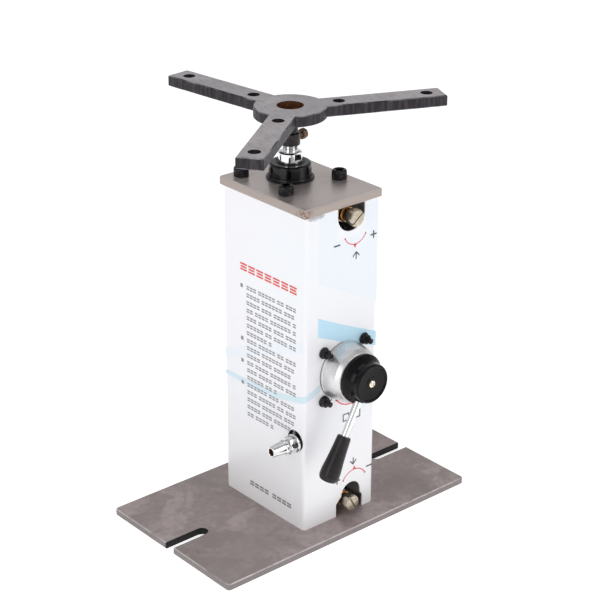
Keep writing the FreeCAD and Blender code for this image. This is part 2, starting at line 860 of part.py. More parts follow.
def seal_level():
    _, sleeve, _ = controller_levels()
    return sleeve - seal_rest


def metering_needle(port_z):
    """Long needle with an O-ring groove, pressed in the adjuster's head."""
    _, _, adjuster = controller_levels()
    stem = rod(port_point(port_z, metering_needle_start), FRONT, metering_needle_d,
               adjuster + metering_needle_seat - metering_needle_start)
    groove_height = seal_cord_d + 2 * slide_fit
    groove = tube(port_point(port_z, seal_level() - groove_height / 2), FRONT,
                  metering_needle_d + 2, metering_needle_d - seal_cord_d, groove_height)
    return stem.cut(groove)


def adjuster_screw(port_z):
    """Slotted hexagon head on the metering needle."""
    _, _, adjuster = controller_levels()
    head = hex_head(port_point(port_z, adjuster), FRONT, adjuster_across, adjuster_head,
                    adjuster_turn)
    seat = rod(port_point(port_z, adjuster), FRONT, metering_needle_d, metering_needle_seat)
    half = adjuster_slot_width / 2
    slot = box(-adjuster_across, adjuster_across, -adjuster_slot_depth, adjuster_slot_depth,
               -half, half)
    slot.rotate(Vec(0, 0, 0), BACK, adjuster_slot_angle)
    slot.translate(port_point(port_z, adjuster + adjuster_head))
    return without(head, [seat, slot])


def adjuster_seal(port_z):
    inner = metering_needle_d - seal_cord_d + 2 * slide_fit
    outer = metering_needle_d + seal_cord_d - 2 * slide_fit
    mean = (inner + outer) / 2
    return ring(port_point(port_z, seal_level()), FRONT, mean, (outer - inner) / 2)


# ------------------------------------------------------------ hand valve
def valve_point(forward):
    """Point on the valve's axis, forward of the column's front face."""
    return Vec(valve_x, face_y - forward, valve_z)


def valve_block():
    half = valve_block_side / 2
    block = box(valve_x - half, valve_x + half, block_front_y, block_back_y,
                valve_z - half, valve_z + half)
    block = joined([block, box(valve_x - valve_flange_side / 2,
                               valve_x + valve_flange_side / 2, flange_front_y,
                               block_front_y, valve_z - valve_flange_side / 2,
                               valve_z + valve_flange_side / 2)])
    cuts = [rod(Vec(valve_x, flange_front_y, valve_z), BACK, valve_chamber_d,
                valve_flange_thickness)]
    for start, direction, size in valve_ports():
        cuts.append(rod(start, direction * -1, size, valve_port_depth))
    for x, z in square_places(valve_x, valve_z, valve_bolt_pitch):
        cuts.append(rod(Vec(x, flange_front_y, z), BACK, valve_bolt_d + 2 * still_fit,
                        valve_flange_thickness))
    return without(block, cuts)


def valve_ports():
    """Mouth, outward direction and size of the supply, two hose and exhaust ports."""
    half = valve_block_side / 2
    thread = fitting_nut_across - 1.0
    return [(Vec(valve_x, plug_y, valve_z - half), DOWN, pipe_d + 2 * still_fit),
            (Vec(valve_x, block_mid_y, valve_z + half), UP, thread),
            (Vec(valve_x - half, block_mid_y, valve_z), LEFT, thread),
            (Vec(valve_x + half, block_mid_y, valve_z), RIGHT, thread)]


def valve_dome():
    """Round cast cover that shows in front of the column."""
    outer = dome_d / 2
    nose = dome_nose_d / 2
    wall = dome_wall
    spigot = column_wall
    profile = [(spindle_d / 2 + slide_fit, dome_height - wall),
               (rotor_d / 2 + 2.0, dome_height - wall),
               (valve_chamber_d / 2, dome_height - 2 * wall),
               (valve_chamber_d / 2, -spigot),
               (outer, -spigot),
               (outer, dome_height * 0.12),
               (outer - 1.2, dome_height * 0.45),
               (outer - 2.4, dome_height - dome_shoulder),
               (nose, dome_height - 0.8),
               (nose - 1.0, dome_height),
               (spindle_d / 2 + slide_fit, dome_height)]
    return turned(profile, valve_point(0), FRONT)


def valve_rotor():
    """Lapped disc that opens and closes the ports, driven by the spindle's tongue."""
    back = rotor_face_y() + rotor_thickness
    disc = rod(Vec(valve_x, back, valve_z), FRONT, rotor_d, rotor_thickness)
    slot = box(valve_x - rotor_d / 4, valve_x + rotor_d / 4, back - rotor_thickness,
               back - rotor_thickness / 2, valve_z - rotor_slot / 2,
               valve_z + rotor_slot / 2)
    pockets = []
    for i in range(4):
        out = radial(45.0 + 90.0 * i) * (rotor_pocket_circle / 2)
        pockets.append(rod(Vec(valve_x + out.x, back, valve_z + out.y), FRONT,
                           rotor_pocket_d, rotor_thickness / 2))
    return without(disc, [slot] + pockets)


def rotor_face_y():
    return block_front_y - 2 * slide_fit - rotor_thickness


def valve_spindle():
    """Shaft from the rotor out through the dome, with a shoulder and a tongue."""
    tongue = rotor_slot - 2 * still_fit
    shoulder_y = face_y - dome_height + dome_wall + still_fit
    start_y = rotor_face_y()
    shaft = rod(Vec(valve_x, start_y - still_fit, valve_z), FRONT, spindle_d,
                start_y - still_fit - (knob_back_y - knob_socket))
    blade = box(valve_x - rotor_d / 4 + still_fit, valve_x + rotor_d / 4 - still_fit,
                start_y - 2.0, start_y + rotor_thickness / 2 - still_fit,
                valve_z - tongue / 2, valve_z + tongue / 2)
    blade = blade.common(rod(Vec(valve_x, start_y + rotor_thickness, valve_z), FRONT,
                             rotor_d / 2 - 2 * still_fit, 3 * rotor_thickness))
    shoulder = rod(Vec(valve_x, shoulder_y, valve_z), BACK, spring_d, spindle_shoulder)
    thread = rod(Vec(valve_x, knob_front_y, valve_z), BACK, knob_screw_hole_d,
                 knob_height)
    return joined([shaft, blade, shoulder]).cut(thread)


def rotor_spring():
    """Coil spring that presses the rotor on its seat."""
    seat_y = rotor_face_y() - still_fit
    front_y = face_y - dome_height + dome_wall + spindle_shoulder + 2 * still_fit
    length = seat_y - front_y - spring_wire
    mean = (spring_d - spring_wire) / 2
    helix = Part.makeHelix(length / spring_turns, length, mean)
    section = Part.Wire(Part.makeCircle(spring_wire / 2, Vec(mean, 0, 0), BACK))
    coil = Part.Wire(helix.Edges).makePipeShell([section], True, True)
    return aligned(coil, Vec(valve_x, seat_y - spring_wire / 2, valve_z), FRONT)


def valve_knob():
    """Moulded cap: wide skirt, narrow neck that takes the lever, dished front disc."""
    skirt = knob_skirt_d / 2
    neck = knob_neck_d / 2
    face = knob_face_d / 2
    lever_at = knob_back_y - lever_y
    half_neck = lever_rod_d / 4
    disc = lever_at + half_neck + (face - neck)
    profile = [(0, 0), (skirt - 1.0, 0), (skirt, 1.0), (skirt, 3.5), (skirt - 1.0, 5.0),
               (neck + 1.5, lever_at - half_neck - 0.7), (neck, lever_at - half_neck),
               (neck, lever_at + half_neck), (face, disc), (face, knob_height - 1.2),
               (face - 1.2, knob_height), (face - knob_rim + 0.6, knob_height),
               (face - knob_rim, knob_height - knob_dish), (0, knob_height - knob_dish)]
    start = Vec(valve_x, knob_back_y, valve_z)
    cuts = [rod(start, FRONT, spindle_d + 2 * still_fit, knob_socket + still_fit),
            rod(Vec(valve_x, knob_front_y, valve_z), BACK, knob_screw_hole_d, knob_height),
            rod(lever_start(), lever_direction(), lever_rod_d + 2 * still_fit,
                knob_skirt_d)]
    return without(turned(profile, start, FRONT), cuts)


def knob_screw():
    """Cross-recessed screw that holds the knob on the spindle."""
    seat_y = knob_front_y + knob_dish
    head = turned([(0, 0), (knob_screw_d / 2, 0), (knob_screw_d / 2 - 0.3, 0.7),
                   (knob_screw_d / 4, knob_screw_height), (0, knob_screw_height)],
                  Vec(valve_x, seat_y, valve_z), FRONT)
    shank = rod(Vec(valve_x, seat_y, valve_z), BACK, knob_screw_shank_d, knob_screw_length)
    arm = knob_screw_cross_width / 2
    reach = knob_screw_cross_d / 2
    top_y = seat_y - knob_screw_height
    floor_y = top_y + knob_screw_cross_depth
    cross = [box(valve_x - reach, valve_x + reach, top_y - 1, floor_y,
                 valve_z - arm, valve_z + arm),
             box(valve_x - arm, valve_x + arm, top_y - 1, floor_y,
                 valve_z - reach, valve_z + reach)]
    return without(joined([head, shank]), cross)


def lever_direction():
    angle = math.radians(lever_angle)
    return Vec(-math.sin(angle), 0, -math.cos(angle))


def lever_start():
    return Vec(valve_x, lever_y, valve_z) + lever_direction() * lever_rod_start


def lever_rod():
    return rod(lever_start(), lever_direction(), lever_rod_d, lever_rod_end - lever_rod_start)


def lever_grip():
    """Tapered handle grip with a rounded end."""
    root = grip_root_d / 2
    wide = grip_max_d / 2
    entry = lever_rod_end - grip_start
    inner = lever_rod_d / 2 + still_fit
    length = grip_length
    outline = [(root - 1.0, 0), (root, 1.0), (root + 0.8, length * 0.22),
               (wide - 1.4, length * 0.55), (wide, length * 0.8)]
    steps = 6
    for i in range(steps + 1):
        angle = math.radians(90.0 / steps * i)
        outline.append((wide * math.cos(angle),
                        length - grip_end_height * (1 - math.sin(angle))))
    profile = [(inner, 0)] + outline[:-1] + [(0, length), (0, entry), (inner, entry)]
    at = Vec(valve_x, lever_y, valve_z) + lever_direction() * grip_start
    return turned(profile, at, lever_direction())


def valve_bolts():
    """Bolts from behind the valve's flange, with their ends out of the column."""
    bolts = []
    length = valve_bolt_out + column_wall + valve_flange_thickness
    for x, z in square_places(valve_x, valve_z, valve_bolt_pitch):
        shank = rod(Vec(x, face_y - valve_bolt_out, z), BACK, valve_bolt_d, length)
        head = hex_head(Vec(x, block_front_y, z), BACK, valve_nut_across, valve_bolt_head)
        bolts.append(joined([shank, head]))
    return Part.Compound(bolts)


def valve_nuts():
    nuts = []
    for x, z in square_places(valve_x, valve_z, valve_bolt_pitch):
        at = Vec(x, face_y, z)
        nut = joined([rod(at, FRONT, valve_nut_flange_d, valve_nut_flange_height),
                      hex_head(at + FRONT * valve_nut_flange_height, FRONT,
                               valve_nut_across, valve_nut_height - valve_nut_flange_height,
                               15.0)])
        nuts.append(nut.cut(rod(at, FRONT, valve_bolt_d + still_fit, valve_nut_height)))
    return Part.Compound(nuts)


# ------------------------------------------------------------ air supply and hoses
def exhaust_silencer():
    """Sintered silencer in the valve's exhaust port."""
    mouth, out, size = valve_ports()[3]
    thread = rod(mouth - out * (valve_port_depth - 1), out, size - 2 * still_fit,
                 valve_port_depth - 1)
    shoulder = silencer_length / 2
    nose = turned([(0, 0), (silencer_d / 2, 0), (silencer_d / 2, shoulder),
                   (silencer_tip_d / 2, silencer_length), (0, silencer_length)], mouth, out)
    return joined([thread, nose])


def straight_fitting(mouth, out, size):
    """Push-in hose fitting: thread, hexagon and round collet."""
    thread = rod(mouth - out * (valve_port_depth - 1), out, size - 2 * still_fit,
                 valve_port_depth - 1)
    nut = hexagon(mouth, out, fitting_nut_across, fitting_nut_height)
    collet = rod(mouth + out * fitting_nut_height, out, fitting_collet_d,
                 fitting_length - fitting_nut_height)
    bore = rod(mouth - out * valve_port_depth, out, hose_bore_d,
               fitting_length + valve_port_depth)
    seat = rod(mouth + out * (fitting_length - hose_entry), out, hose_d + 2 * hose_fit,
               hose_entry)
    return without(joined([thread, nut, collet]), [bore, seat])


def upper_hose_fitting():
    mouth, out, size = valve_ports()[1]
    return straight_fitting(mouth, out, size)


def lower_hose_fitting():
    """Elbow on the valve's left port, with its collet pointing down."""
    mouth, out, size = valve_ports()[2]
    knee = mouth + out * elbow_reach()
    parts = [rod(mouth - out * (valve_port_depth - 1), out, size - 2 * still_fit,
                 valve_port_depth - 1),
             hexagon(mouth, out, fitting_nut_across, fitting_nut_height),
             rod(mouth, out, fitting_elbow_d, elbow_reach()),
             Part.makeSphere(fitting_elbow_d / 2, knee),
             rod(knee, DOWN, fitting_elbow_d, fitting_length),
             rod(knee + DOWN * (fitting_length - collet_length), DOWN, fitting_collet_d,
                 collet_length)]
    cuts = [rod(mouth - out * valve_port_depth, out, hose_bore_d,
                elbow_reach() + valve_port_depth),
            rod(knee, DOWN, hose_bore_d, fitting_length),
            rod(knee + DOWN * (fitting_length - hose_entry), DOWN, hose_d + 2 * hose_fit,
                hose_entry)]
    return without(joined(parts), cuts)


def elbow_reach():
    return fitting_nut_height + fitting_collet_d / 2


def supply_riser():
    """Steel pipe from the elbow up into the valve's supply port."""
    mouth, out, _ = valve_ports()[0]
    bottom = plug_z + elbow_socket
    top = mouth.z + valve_port_depth - riser_end_gap
    return tube(Vec(mouth.x, mouth.y, bottom), UP, pipe_d, pipe_d - 2 * pipe_wall,
                top - bottom)


def supply_elbow():
    mouth, _, _ = valve_ports()[0]
    corner = Vec(mouth.x, mouth.y, plug_z)
    wall_d = pipe_d + 2 * still_fit
    inner_d = pipe_d - 2 * pipe_wall
    parts = [Part.makeSphere(elbow_d / 2, corner)]
    cuts = []
    for out in (UP, LEFT):
        parts.append(rod(corner, out, elbow_d, elbow_arm))
        cuts.append(rod(corner, out, inner_d, elbow_arm))
        cuts.append(rod(corner + out * elbow_socket, out, wall_d, elbow_arm))
    body = joined(parts)
    return without(body, cuts)


def supply_pipe():
    """Short pipe from the elbow out through the column's left wall to the plug."""
    start = Vec(valve_x - elbow_socket, plug_y, plug_z)
    length = start.x - left_x + plug_gap + plug_socket
    return tube(start, LEFT, pipe_d, pipe_d - 2 * pipe_wall, length)


def quick_plug():
    """Nose of a quick coupling: flange, hexagon, neck, collar and tapered nipple."""
    start = Vec(left_x - plug_gap, plug_y, plug_z)
    flange_r = plug_flange_d / 2
    neck_r = plug_neck_d / 2
    collar_r = plug_collar_d / 2
    nose_r = plug_nose_d / 2
    tip_r = plug_tip_d / 2
    flange = turned([(0, 0), (flange_r - 0.6, 0), (flange_r, 0.6), (flange_r, 1.8),
                     (flange_r - 0.8, 2.6), (0, 2.6)], start, LEFT)
    nut = hexagon(start, LEFT, plug_hex_across, plug_hex_end)
    nose = turned([(0, plug_hex_end - 0.5), (neck_r, plug_hex_end - 0.5),
                   (neck_r, plug_hex_end + 1.5), (collar_r, plug_hex_end + 2.3),
                   (collar_r, plug_hex_end + 4.9), (collar_r - 0.5, plug_hex_end + 5.7),
                   (nose_r, plug_hex_end + 8.3), (tip_r + 0.3, plug_length - 3.8),
                   (tip_r, plug_length - 0.6), (tip_r - 0.5, plug_length),
                   (0, plug_length)], start, LEFT)
    cuts = [rod(start, LEFT, pipe_d + 2 * still_fit, plug_socket + still_fit),
            rod(start, LEFT, plug_bore_d, plug_length)]
    return without(joined([flange, nut, nose]), cuts)


def banjo_mouth(port_z, arm_direction):
    """Where a hose ends, seated in the banjo's arm."""
    inner = banjo_arm_length - hose_entry + hose_end_gap
    return port_point(port_z, banjo_arm_height) + arm_direction * inner


def upper_hose():
    mouth, _, _ = valve_ports()[1]
    start = mouth + UP * (fitting_length - hose_entry + hose_end_gap)
    end = banjo_mouth(upper_port_z, DOWN)
    lead_out = start + UP * upper_hose_straight
    lead_in = end + DOWN * upper_hose_straight
    between = start + (end - start) * 0.38
    return hose([start, lead_out, between, lead_in, end])


def lower_hose():
    """Down from the valve's elbow, past the supply pipe and in to the lower banjo."""
    mouth, out, _ = valve_ports()[2]
    knee = mouth + out * elbow_reach()
    start = knee + DOWN * (fitting_length - hose_entry + hose_end_gap)
    end = banjo_mouth(lower_port_z, LOWER_ARM)
    pass_x = start.x - 1.5
    return hose([start, start + DOWN * 16.0, Vec(pass_x, end.y, plug_z + 16.0),
                 Vec(pass_x, end.y, plug_z - 26.0), end + LOWER_ARM * 24.0, end])


# ------------------------------------------------------------ all pieces
def pieces():
    found = {
        "base_plate": base_plate(),
        "base_screws": base_screws(),
        "column_cover": column_cover(),
        "top_plate": top_plate(),
        "top_screws": top_screws(),
        "rear_end_cap": rear_end_cap(),
        "front_end_cap": front_end_cap(),
        "cylinder_barrel": barrel(),
        "barrel_seals": barrel_seals(),
        "tie_rods": tie_rods(),
        "tie_rod_nuts": tie_rod_nuts(),
        "cushion_needles": cushion_needles(),
        "rod_bush": rod_bush(),
        "rod_wiper": rod_wiper(),
        "rod_gland": rod_gland(),
        "gland_gasket": gland_gasket(),
        "piston_rod": piston_rod(),
        "piston": piston(),
        "piston_seals": piston_seals(),
        "wear_ring": wear_ring(),
        "piston_nut": piston_nut(),
        "cushion_sleeve": cushion_sleeve(),
        "head_spider": head_spider(),
        "head_stem": head_stem(),
        "set_bolt": set_bolt(),
        "valve_block": valve_block(),
        "valve_dome": valve_dome(),
        "valve_rotor": valve_rotor(),
        "valve_spindle": valve_spindle(),
        "rotor_spring": rotor_spring(),
        "valve_knob": valve_knob(),
        "knob_screw": knob_screw(),
        "lever_rod": lever_rod(),
        "lever_grip": lever_grip(),
        "valve_bolts": valve_bolts(),
        "valve_nuts": valve_nuts(),
        "exhaust_silencer": exhaust_silencer(),
        "upper_hose_fitting": upper_hose_fitting(),
        "lower_hose_fitting": lower_hose_fitting(),
        "upper_hose": upper_hose(),
        "lower_hose": lower_hose(),
        "supply_riser": supply_riser(),
        "supply_elbow": supply_elbow(),
        "supply_pipe": supply_pipe(),
        "quick_plug": quick_plug(),
    }
    for name, port_z, arm in (("upper", upper_port_z, DOWN), ("lower", lower_port_z, LOWER_ARM)):
        found[name + "_banjo_body"] = banjo_body(port_z, arm)
        found[name + "_hollow_bolt"] = hollow_bolt(port_z)
        found[name + "_metering_sleeve"] = metering_sleeve(port_z)
        found[name + "_adjuster_screw"] = adjuster_screw(port_z)
        found[name + "_metering_needle"] = metering_needle(port_z)
        found[name + "_adjuster_seal"] = adjuster_seal(port_z)
    return found


os.makedirs("parts", exist_ok=True)
for node, shape in pieces().items():
    if not shape.isValid():
        print("invalid shape:", node)
    shape.exportStep("parts/" + node + ".step")
    print(node, len(shape.Solids), "solid(s)", round(shape.Volume), "mm3")
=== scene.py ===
import json
import math

import bmesh
import bpy
from mathutils import Matrix, Vector


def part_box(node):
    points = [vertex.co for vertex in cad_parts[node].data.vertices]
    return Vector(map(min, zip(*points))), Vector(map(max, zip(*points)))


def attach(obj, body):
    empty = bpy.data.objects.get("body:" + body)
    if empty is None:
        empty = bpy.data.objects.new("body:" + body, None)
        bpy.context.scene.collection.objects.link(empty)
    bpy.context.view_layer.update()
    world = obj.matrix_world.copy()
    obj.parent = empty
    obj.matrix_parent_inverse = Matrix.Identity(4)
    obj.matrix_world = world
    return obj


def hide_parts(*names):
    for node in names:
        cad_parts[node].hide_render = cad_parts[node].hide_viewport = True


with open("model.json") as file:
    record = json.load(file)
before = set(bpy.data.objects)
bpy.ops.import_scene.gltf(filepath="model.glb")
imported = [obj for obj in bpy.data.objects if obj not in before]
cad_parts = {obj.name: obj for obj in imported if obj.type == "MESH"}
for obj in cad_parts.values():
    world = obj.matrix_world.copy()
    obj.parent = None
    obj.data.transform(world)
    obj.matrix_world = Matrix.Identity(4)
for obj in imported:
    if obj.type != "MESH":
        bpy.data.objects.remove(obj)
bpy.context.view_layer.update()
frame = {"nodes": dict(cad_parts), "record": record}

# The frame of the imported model: +Z up, -Y out of the face that carries the valve.
# Shapes are written in millimetres, and TO_METRES brings them to the frame's metres.
MM = 0.001
TO_METRES = Matrix.Diagonal((MM, MM, MM, 1))
UP = Vector((0, 0, 1))
FRONT = Vector((0, -1, 0))
LEFT = Vector((-1, 0, 0))


# ------------------------------------------------------------ places read from the frame
def low(node):
    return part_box(node)[0] / MM


def high(node):
    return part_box(node)[1] / MM


def middle(node):
    return (low(node) + high(node)) / 2


axis = middle("cylinder_barrel")
column_low = low("column_cover")
column_high = high("column_cover")
face = column_low.y
valve = middle("valve_dome")
plate_top = high("top_plate").z
lower_port = middle("lower_adjuster_screw")
upper_port = middle("upper_adjuster_screw")


def linked(name, data):
    thing = bpy.data.objects.new(name, data)
    bpy.context.scene.collection.objects.link(thing)
    return thing


def fill(node, values):
    for key, value in values.items():
        node.inputs[key].default_value = value


# ------------------------------------------------------------ camera, light and floor
CAMERA_PLACE = (-1.09638, -1.28347, 0.99684)
AZIMUTH, ELEVATION, ROLL = -40.78, 24.08, 0.2   # degrees


def make_camera():
    azimuth, elevation, roll = (math.radians(angle) for angle in (AZIMUTH, ELEVATION, ROLL))
    back = Vector((math.sin(azimuth) * math.cos(elevation),
                   -math.cos(azimuth) * math.cos(elevation), math.sin(elevation)))
    level = UP.cross(back).normalized()
    upright = back.cross(level)
    right = level * math.cos(roll) + upright * math.sin(roll)
    up = upright * math.cos(roll) - level * math.sin(roll)
    data = bpy.data.cameras.new("camera")
    data.lens = 104.74
    data.sensor_width = 36.0
    camera = linked("camera", data)
    turn = Matrix((right, up, back)).transposed().to_4x4()
    camera.matrix_world = Matrix.Translation(CAMERA_PLACE) @ turn
    bpy.context.scene.camera = camera


def area_light(name, place, target, size, power):
    data = bpy.data.lights.new(name, "AREA")
    data.shape = "RECTANGLE"
    data.size = size[0]
    data.size_y = size[1]
    data.energy = power
    lamp = linked(name, data)
    aim = (Vector(target) - Vector(place)).to_track_quat("-Z", "Y")
    lamp.matrix_world = Matrix.Translation(place) @ aim.to_matrix().to_4x4()


def make_light():
    target = (0.0, 0.0, 0.2)
    area_light("left_softbox", (-1.9, -0.4, 1.0), target, (0.9, 1.6), 9.0)
    area_light("right_softbox", (0.9, -2.0, 1.1), target, (0.9, 1.6), 10.5)
    area_light("top_softbox", (0.0, 0.3, 2.2), target, (1.6, 1.2), 6.5)
    world = bpy.data.worlds.new("studio")
    world.use_nodes = True
    tree = world.node_tree
    shade = tree.nodes["Background"]
    coords = tree.nodes.new("ShaderNodeTexCoord")
    split = tree.nodes.new("ShaderNodeSeparateXYZ")
    bands = tree.nodes.new("ShaderNodeValToRGB")
    tree.links.new(coords.outputs["Generated"], split.inputs[0])
    tree.links.new(split.outputs["Z"], bands.inputs[0])
    stops = [(0.0, 1.0), (0.30, 0.98), (0.46, 0.62), (0.60, 0.80), (0.75, 0.55), (1.0, 0.75)]
    ramp = bands.color_ramp
    while len(ramp.elements) < len(stops):
        ramp.elements.new(0.5)
    for element, (place, grey) in zip(ramp.elements, stops):
        element.position = place
        element.color = (grey, grey, grey * 1.01, 1)
    tree.links.new(bands.outputs[0], shade.inputs["Color"])
    shade.inputs["Strength"].default_value = 0.68
    bpy.context.scene.world = world
    bpy.context.scene.view_settings.view_transform = "Standard"


def make_floor():
    mesh = bpy.data.meshes.new("studio_floor")
    half = 6.0
    mesh.from_pydata([(-half, -half, 0), (half, -half, 0), (half, half, 0), (-half, half, 0)],
                     [], [(0, 1, 2, 3)])
    floor = linked("studio_floor", mesh)
    floor.location.z = -0.2 * MM   # clear of the base plate's underside
    material = bpy.data.materials.new("studio_floor")
    material.use_nodes = True
    shader = material.node_tree.nodes["Principled BSDF"]
    fill(shader, {"Base Color": (0.93, 0.93, 0.93, 1), "Roughness": 0.9,
                  "Emission Color": (1, 1, 1, 1), "Emission Strength": 0.55})
    mesh.materials.append(material)


# ------------------------------------------------------------ materials
class Look:
    """One procedural material; patterns follow object coordinates, in metres."""

    def __init__(self, name, metallic=0.0, roughness=0.5, coat=0.0, coat_roughness=0.1,
                 specular=0.5, anisotropy=0.0):
        self.material = bpy.data.materials.new(name)
        self.material.use_nodes = True
        self.tree = self.material.node_tree
        self.shader = self.tree.nodes["Principled BSDF"]
        self.coords = self.tree.nodes.new("ShaderNodeTexCoord")
        fill(self.shader, {"Metallic": metallic, "Roughness": roughness, "Coat Weight": coat,
                           "Coat Roughness": coat_roughness, "Specular IOR Level": specular,
                           "Anisotropic": anisotropy})

    def node(self, kind, operation=None):
        made = self.tree.nodes.new("ShaderNode" + kind)
        if operation:
            made.operation = operation
        return made

    def put(self, value, socket):
        if isinstance(value, bpy.types.NodeSocket):
            self.tree.links.new(value, socket)
        elif isinstance(value, (tuple, list)) and len(value) == 3 and socket.type == "RGBA":
            socket.default_value = (*value, 1)
        else:
            socket.default_value = value

    def stretched(self, stretch):
        node = self.node("VectorMath", "MULTIPLY")
        self.tree.links.new(self.coords.outputs["Object"], node.inputs[0])
        node.inputs[1].default_value = stretch
        return node.outputs[0]

    def noise(self, scale, detail=3.0, stretch=(1, 1, 1), roughness=0.55, distortion=0.0):
        node = self.node("TexNoise")
        self.tree.links.new(self.stretched(stretch), node.inputs["Vector"])
        fill(node, {"Scale": scale, "Detail": detail, "Roughness": roughness,
                    "Distortion": distortion})
        return node.outputs["Fac"]

    def maths(self, operation, a, b=0.0):
        node = self.node("Math", operation)
        self.put(a, node.inputs[0])
        self.put(b, node.inputs[1])
        return node.outputs[0]

    def part(self, value, share):
        return self.maths("MULTIPLY", value, share)

    def between(self, value, start, end, low_value=0.0, high_value=1.0):
        node = self.node("MapRange")
        node.interpolation_type = "SMOOTHSTEP"
        for key, number in (("Value", value), ("From Min", start), ("From Max", end),
                            ("To Min", low_value), ("To Max", high_value)):
            self.put(number, node.inputs[key])
        return node.outputs[0]

    def patches(self, start, end, *noise, **more):
        """Noise that rises from 0 to 1 between two of its levels."""
        return self.between(self.noise(*noise, **more), start, end)

    def mix(self, amount, a, b):
        node = self.node("Mix")
        node.data_type = "RGBA"
        self.put(amount, node.inputs[0])
        self.put(a, node.inputs[6])
        self.put(b, node.inputs[7])
        return node.outputs[2]

    def component(self, source, letter):
        node = self.node("SeparateXYZ")
        self.tree.links.new(self.coords.outputs[source], node.inputs[0])
        return node.outputs[letter]

    def colour(self, value):
        self.put(value, self.shader.inputs["Base Color"])

    def rough(self, value):
        self.put(value, self.shader.inputs["Roughness"])

    def distance(self, vector, point):
        """How far a vector is from a point given in millimetres."""
        node = self.node("VectorMath", "DISTANCE")
        self.tree.links.new(vector, node.inputs[0])
        node.inputs[1].default_value = Vector(point) * MM
        return node.outputs["Value"]

    def upright(self):
        """1 on upright faces, 0 on level and sloping ones."""
        return self.between(self.maths("ABSOLUTE", self.component("Normal", "Z")),
                            0.15, 0.3, 1.0, 0.0)

    def bump(self, height, depth, strength=1.0):
        node = self.node("Bump")
        fill(node, {"Strength": strength, "Distance": depth})
        self.put(height, node.inputs["Height"])
        earlier = self.shader.inputs["Normal"]
        if earlier.is_linked:
            self.tree.links.new(earlier.links[0].from_socket, node.inputs["Normal"])
        self.tree.links.new(node.outputs[0], self.shader.inputs["Normal"])

    def edge(self):
        """1 on the sloping chamfers of a plate, 0 on its flat faces."""
        up = self.maths("ABSOLUTE", self.component("Normal", "Z"))
        rising = self.between(up, 0.25, 0.45)
        falling = self.between(up, 0.80, 0.98, 1.0, 0.0)
        return self.part(rising, falling)


def mill_scale_steel():
    look = Look("mill_scale_steel", metallic=0.55, roughness=0.5)
    broad = look.patches(0.36, 0.62, 11, 5, distortion=0.9)
    fine = look.patches(0.32, 0.72, 160, 5)
    clouds = look.patches(0.47, 0.56, 21, 5, distortion=0.7)
    tone = look.mix(broad, (0.350, 0.300, 0.290), (0.510, 0.435, 0.425))
    tone = look.mix(look.part(clouds, 0.42), tone, (0.275, 0.220, 0.215))
    tone = look.mix(look.part(fine, 0.40), tone, (0.300, 0.250, 0.240))
    stains = look.patches(0.62, 0.74, 26, 6, distortion=1.2)
    tone = look.mix(look.part(stains, 0.40), tone, (0.255, 0.165, 0.120))
    scratches = look.patches(0.66, 0.72, 70, 2, stretch=(0.6, 14, 14), distortion=0.4)
    tone = look.mix(look.part(scratches, 0.5), tone, (0.55, 0.52, 0.50))
    # painted shade: the upright sides of the plate are darker than its top
    shaded_upright = look.upright()
    tone = look.mix(look.part(shaded_upright, 0.75), tone, (0.190, 0.170, 0.175))
    # painted shade: the walls inside the slots are near-black
    off_middle = look.maths("ABSOLUTE", look.component("Object", "Y"))
    in_slot = look.between(off_middle, 7.1 * MM, 7.4 * MM, 1.0, 0.0)
    tone = look.mix(look.part(shaded_upright, in_slot), tone, (0.012, 0.010, 0.011))
    # partly edge wear, partly painted highlight: the chamfers are lighter in patches
    edge_wear_and_highlight = look.part(look.edge(), look.patches(0.25, 0.55, 55, 3))
    tone = look.mix(edge_wear_and_highlight, tone, (0.62, 0.58, 0.56))
    look.colour(tone)
    look.rough(look.between(look.maths("ADD", broad, look.part(fine, 0.4)), 0.0, 1.4, 0.38, 0.62))
    look.bump(fine, 0.05 * MM, 0.5)
    look.bump(scratches, 0.03 * MM, 0.5)
    return look


def ground_steel():
    look = Look("ground_steel", metallic=0.75, roughness=0.4, anisotropy=0.35)
    lines = look.noise(260, 3, stretch=(0.06, 2.2, 2.2), roughness=0.7)
    swirl = look.patches(0.3, 0.7, 12, 3, distortion=0.5)
    tone = look.mix(look.between(lines, 0.35, 0.65), (0.580, 0.515, 0.490), (0.720, 0.645, 0.620))
    tone = look.mix(look.part(swirl, 0.35), tone, (0.780, 0.715, 0.690))
    # painted shade: the upright sides of the plate are darker than its top
    tone = look.mix(look.part(look.upright(), 0.8), tone, (0.300, 0.250, 0.225))
    corner = look.distance(look.coords.outputs["Object"], low("top_plate"))
    near = look.between(corner, 4 * MM, 17 * MM, 1.0, 0.0)
    blotch = look.patches(0.38, 0.62, 180, 5, distortion=1.0)
    rust = look.part(near, blotch)
    specks = look.patches(0.68, 0.76, 95, 6, distortion=0.8)
    rust = look.maths("MAXIMUM", rust, look.part(specks, 0.45))
    tone = look.mix(rust, tone, (0.240, 0.105, 0.045))
    # painted highlight: the chamfers are lighter
    tone = look.mix(look.part(look.edge(), 0.85), tone, (0.66, 0.61, 0.57))
    look.colour(tone)
    look.rough(look.between(look.maths("ADD", lines, rust), 0.3, 1.3, 0.30, 0.62))
    look.bump(lines, 0.02 * MM, 0.45)
    return look


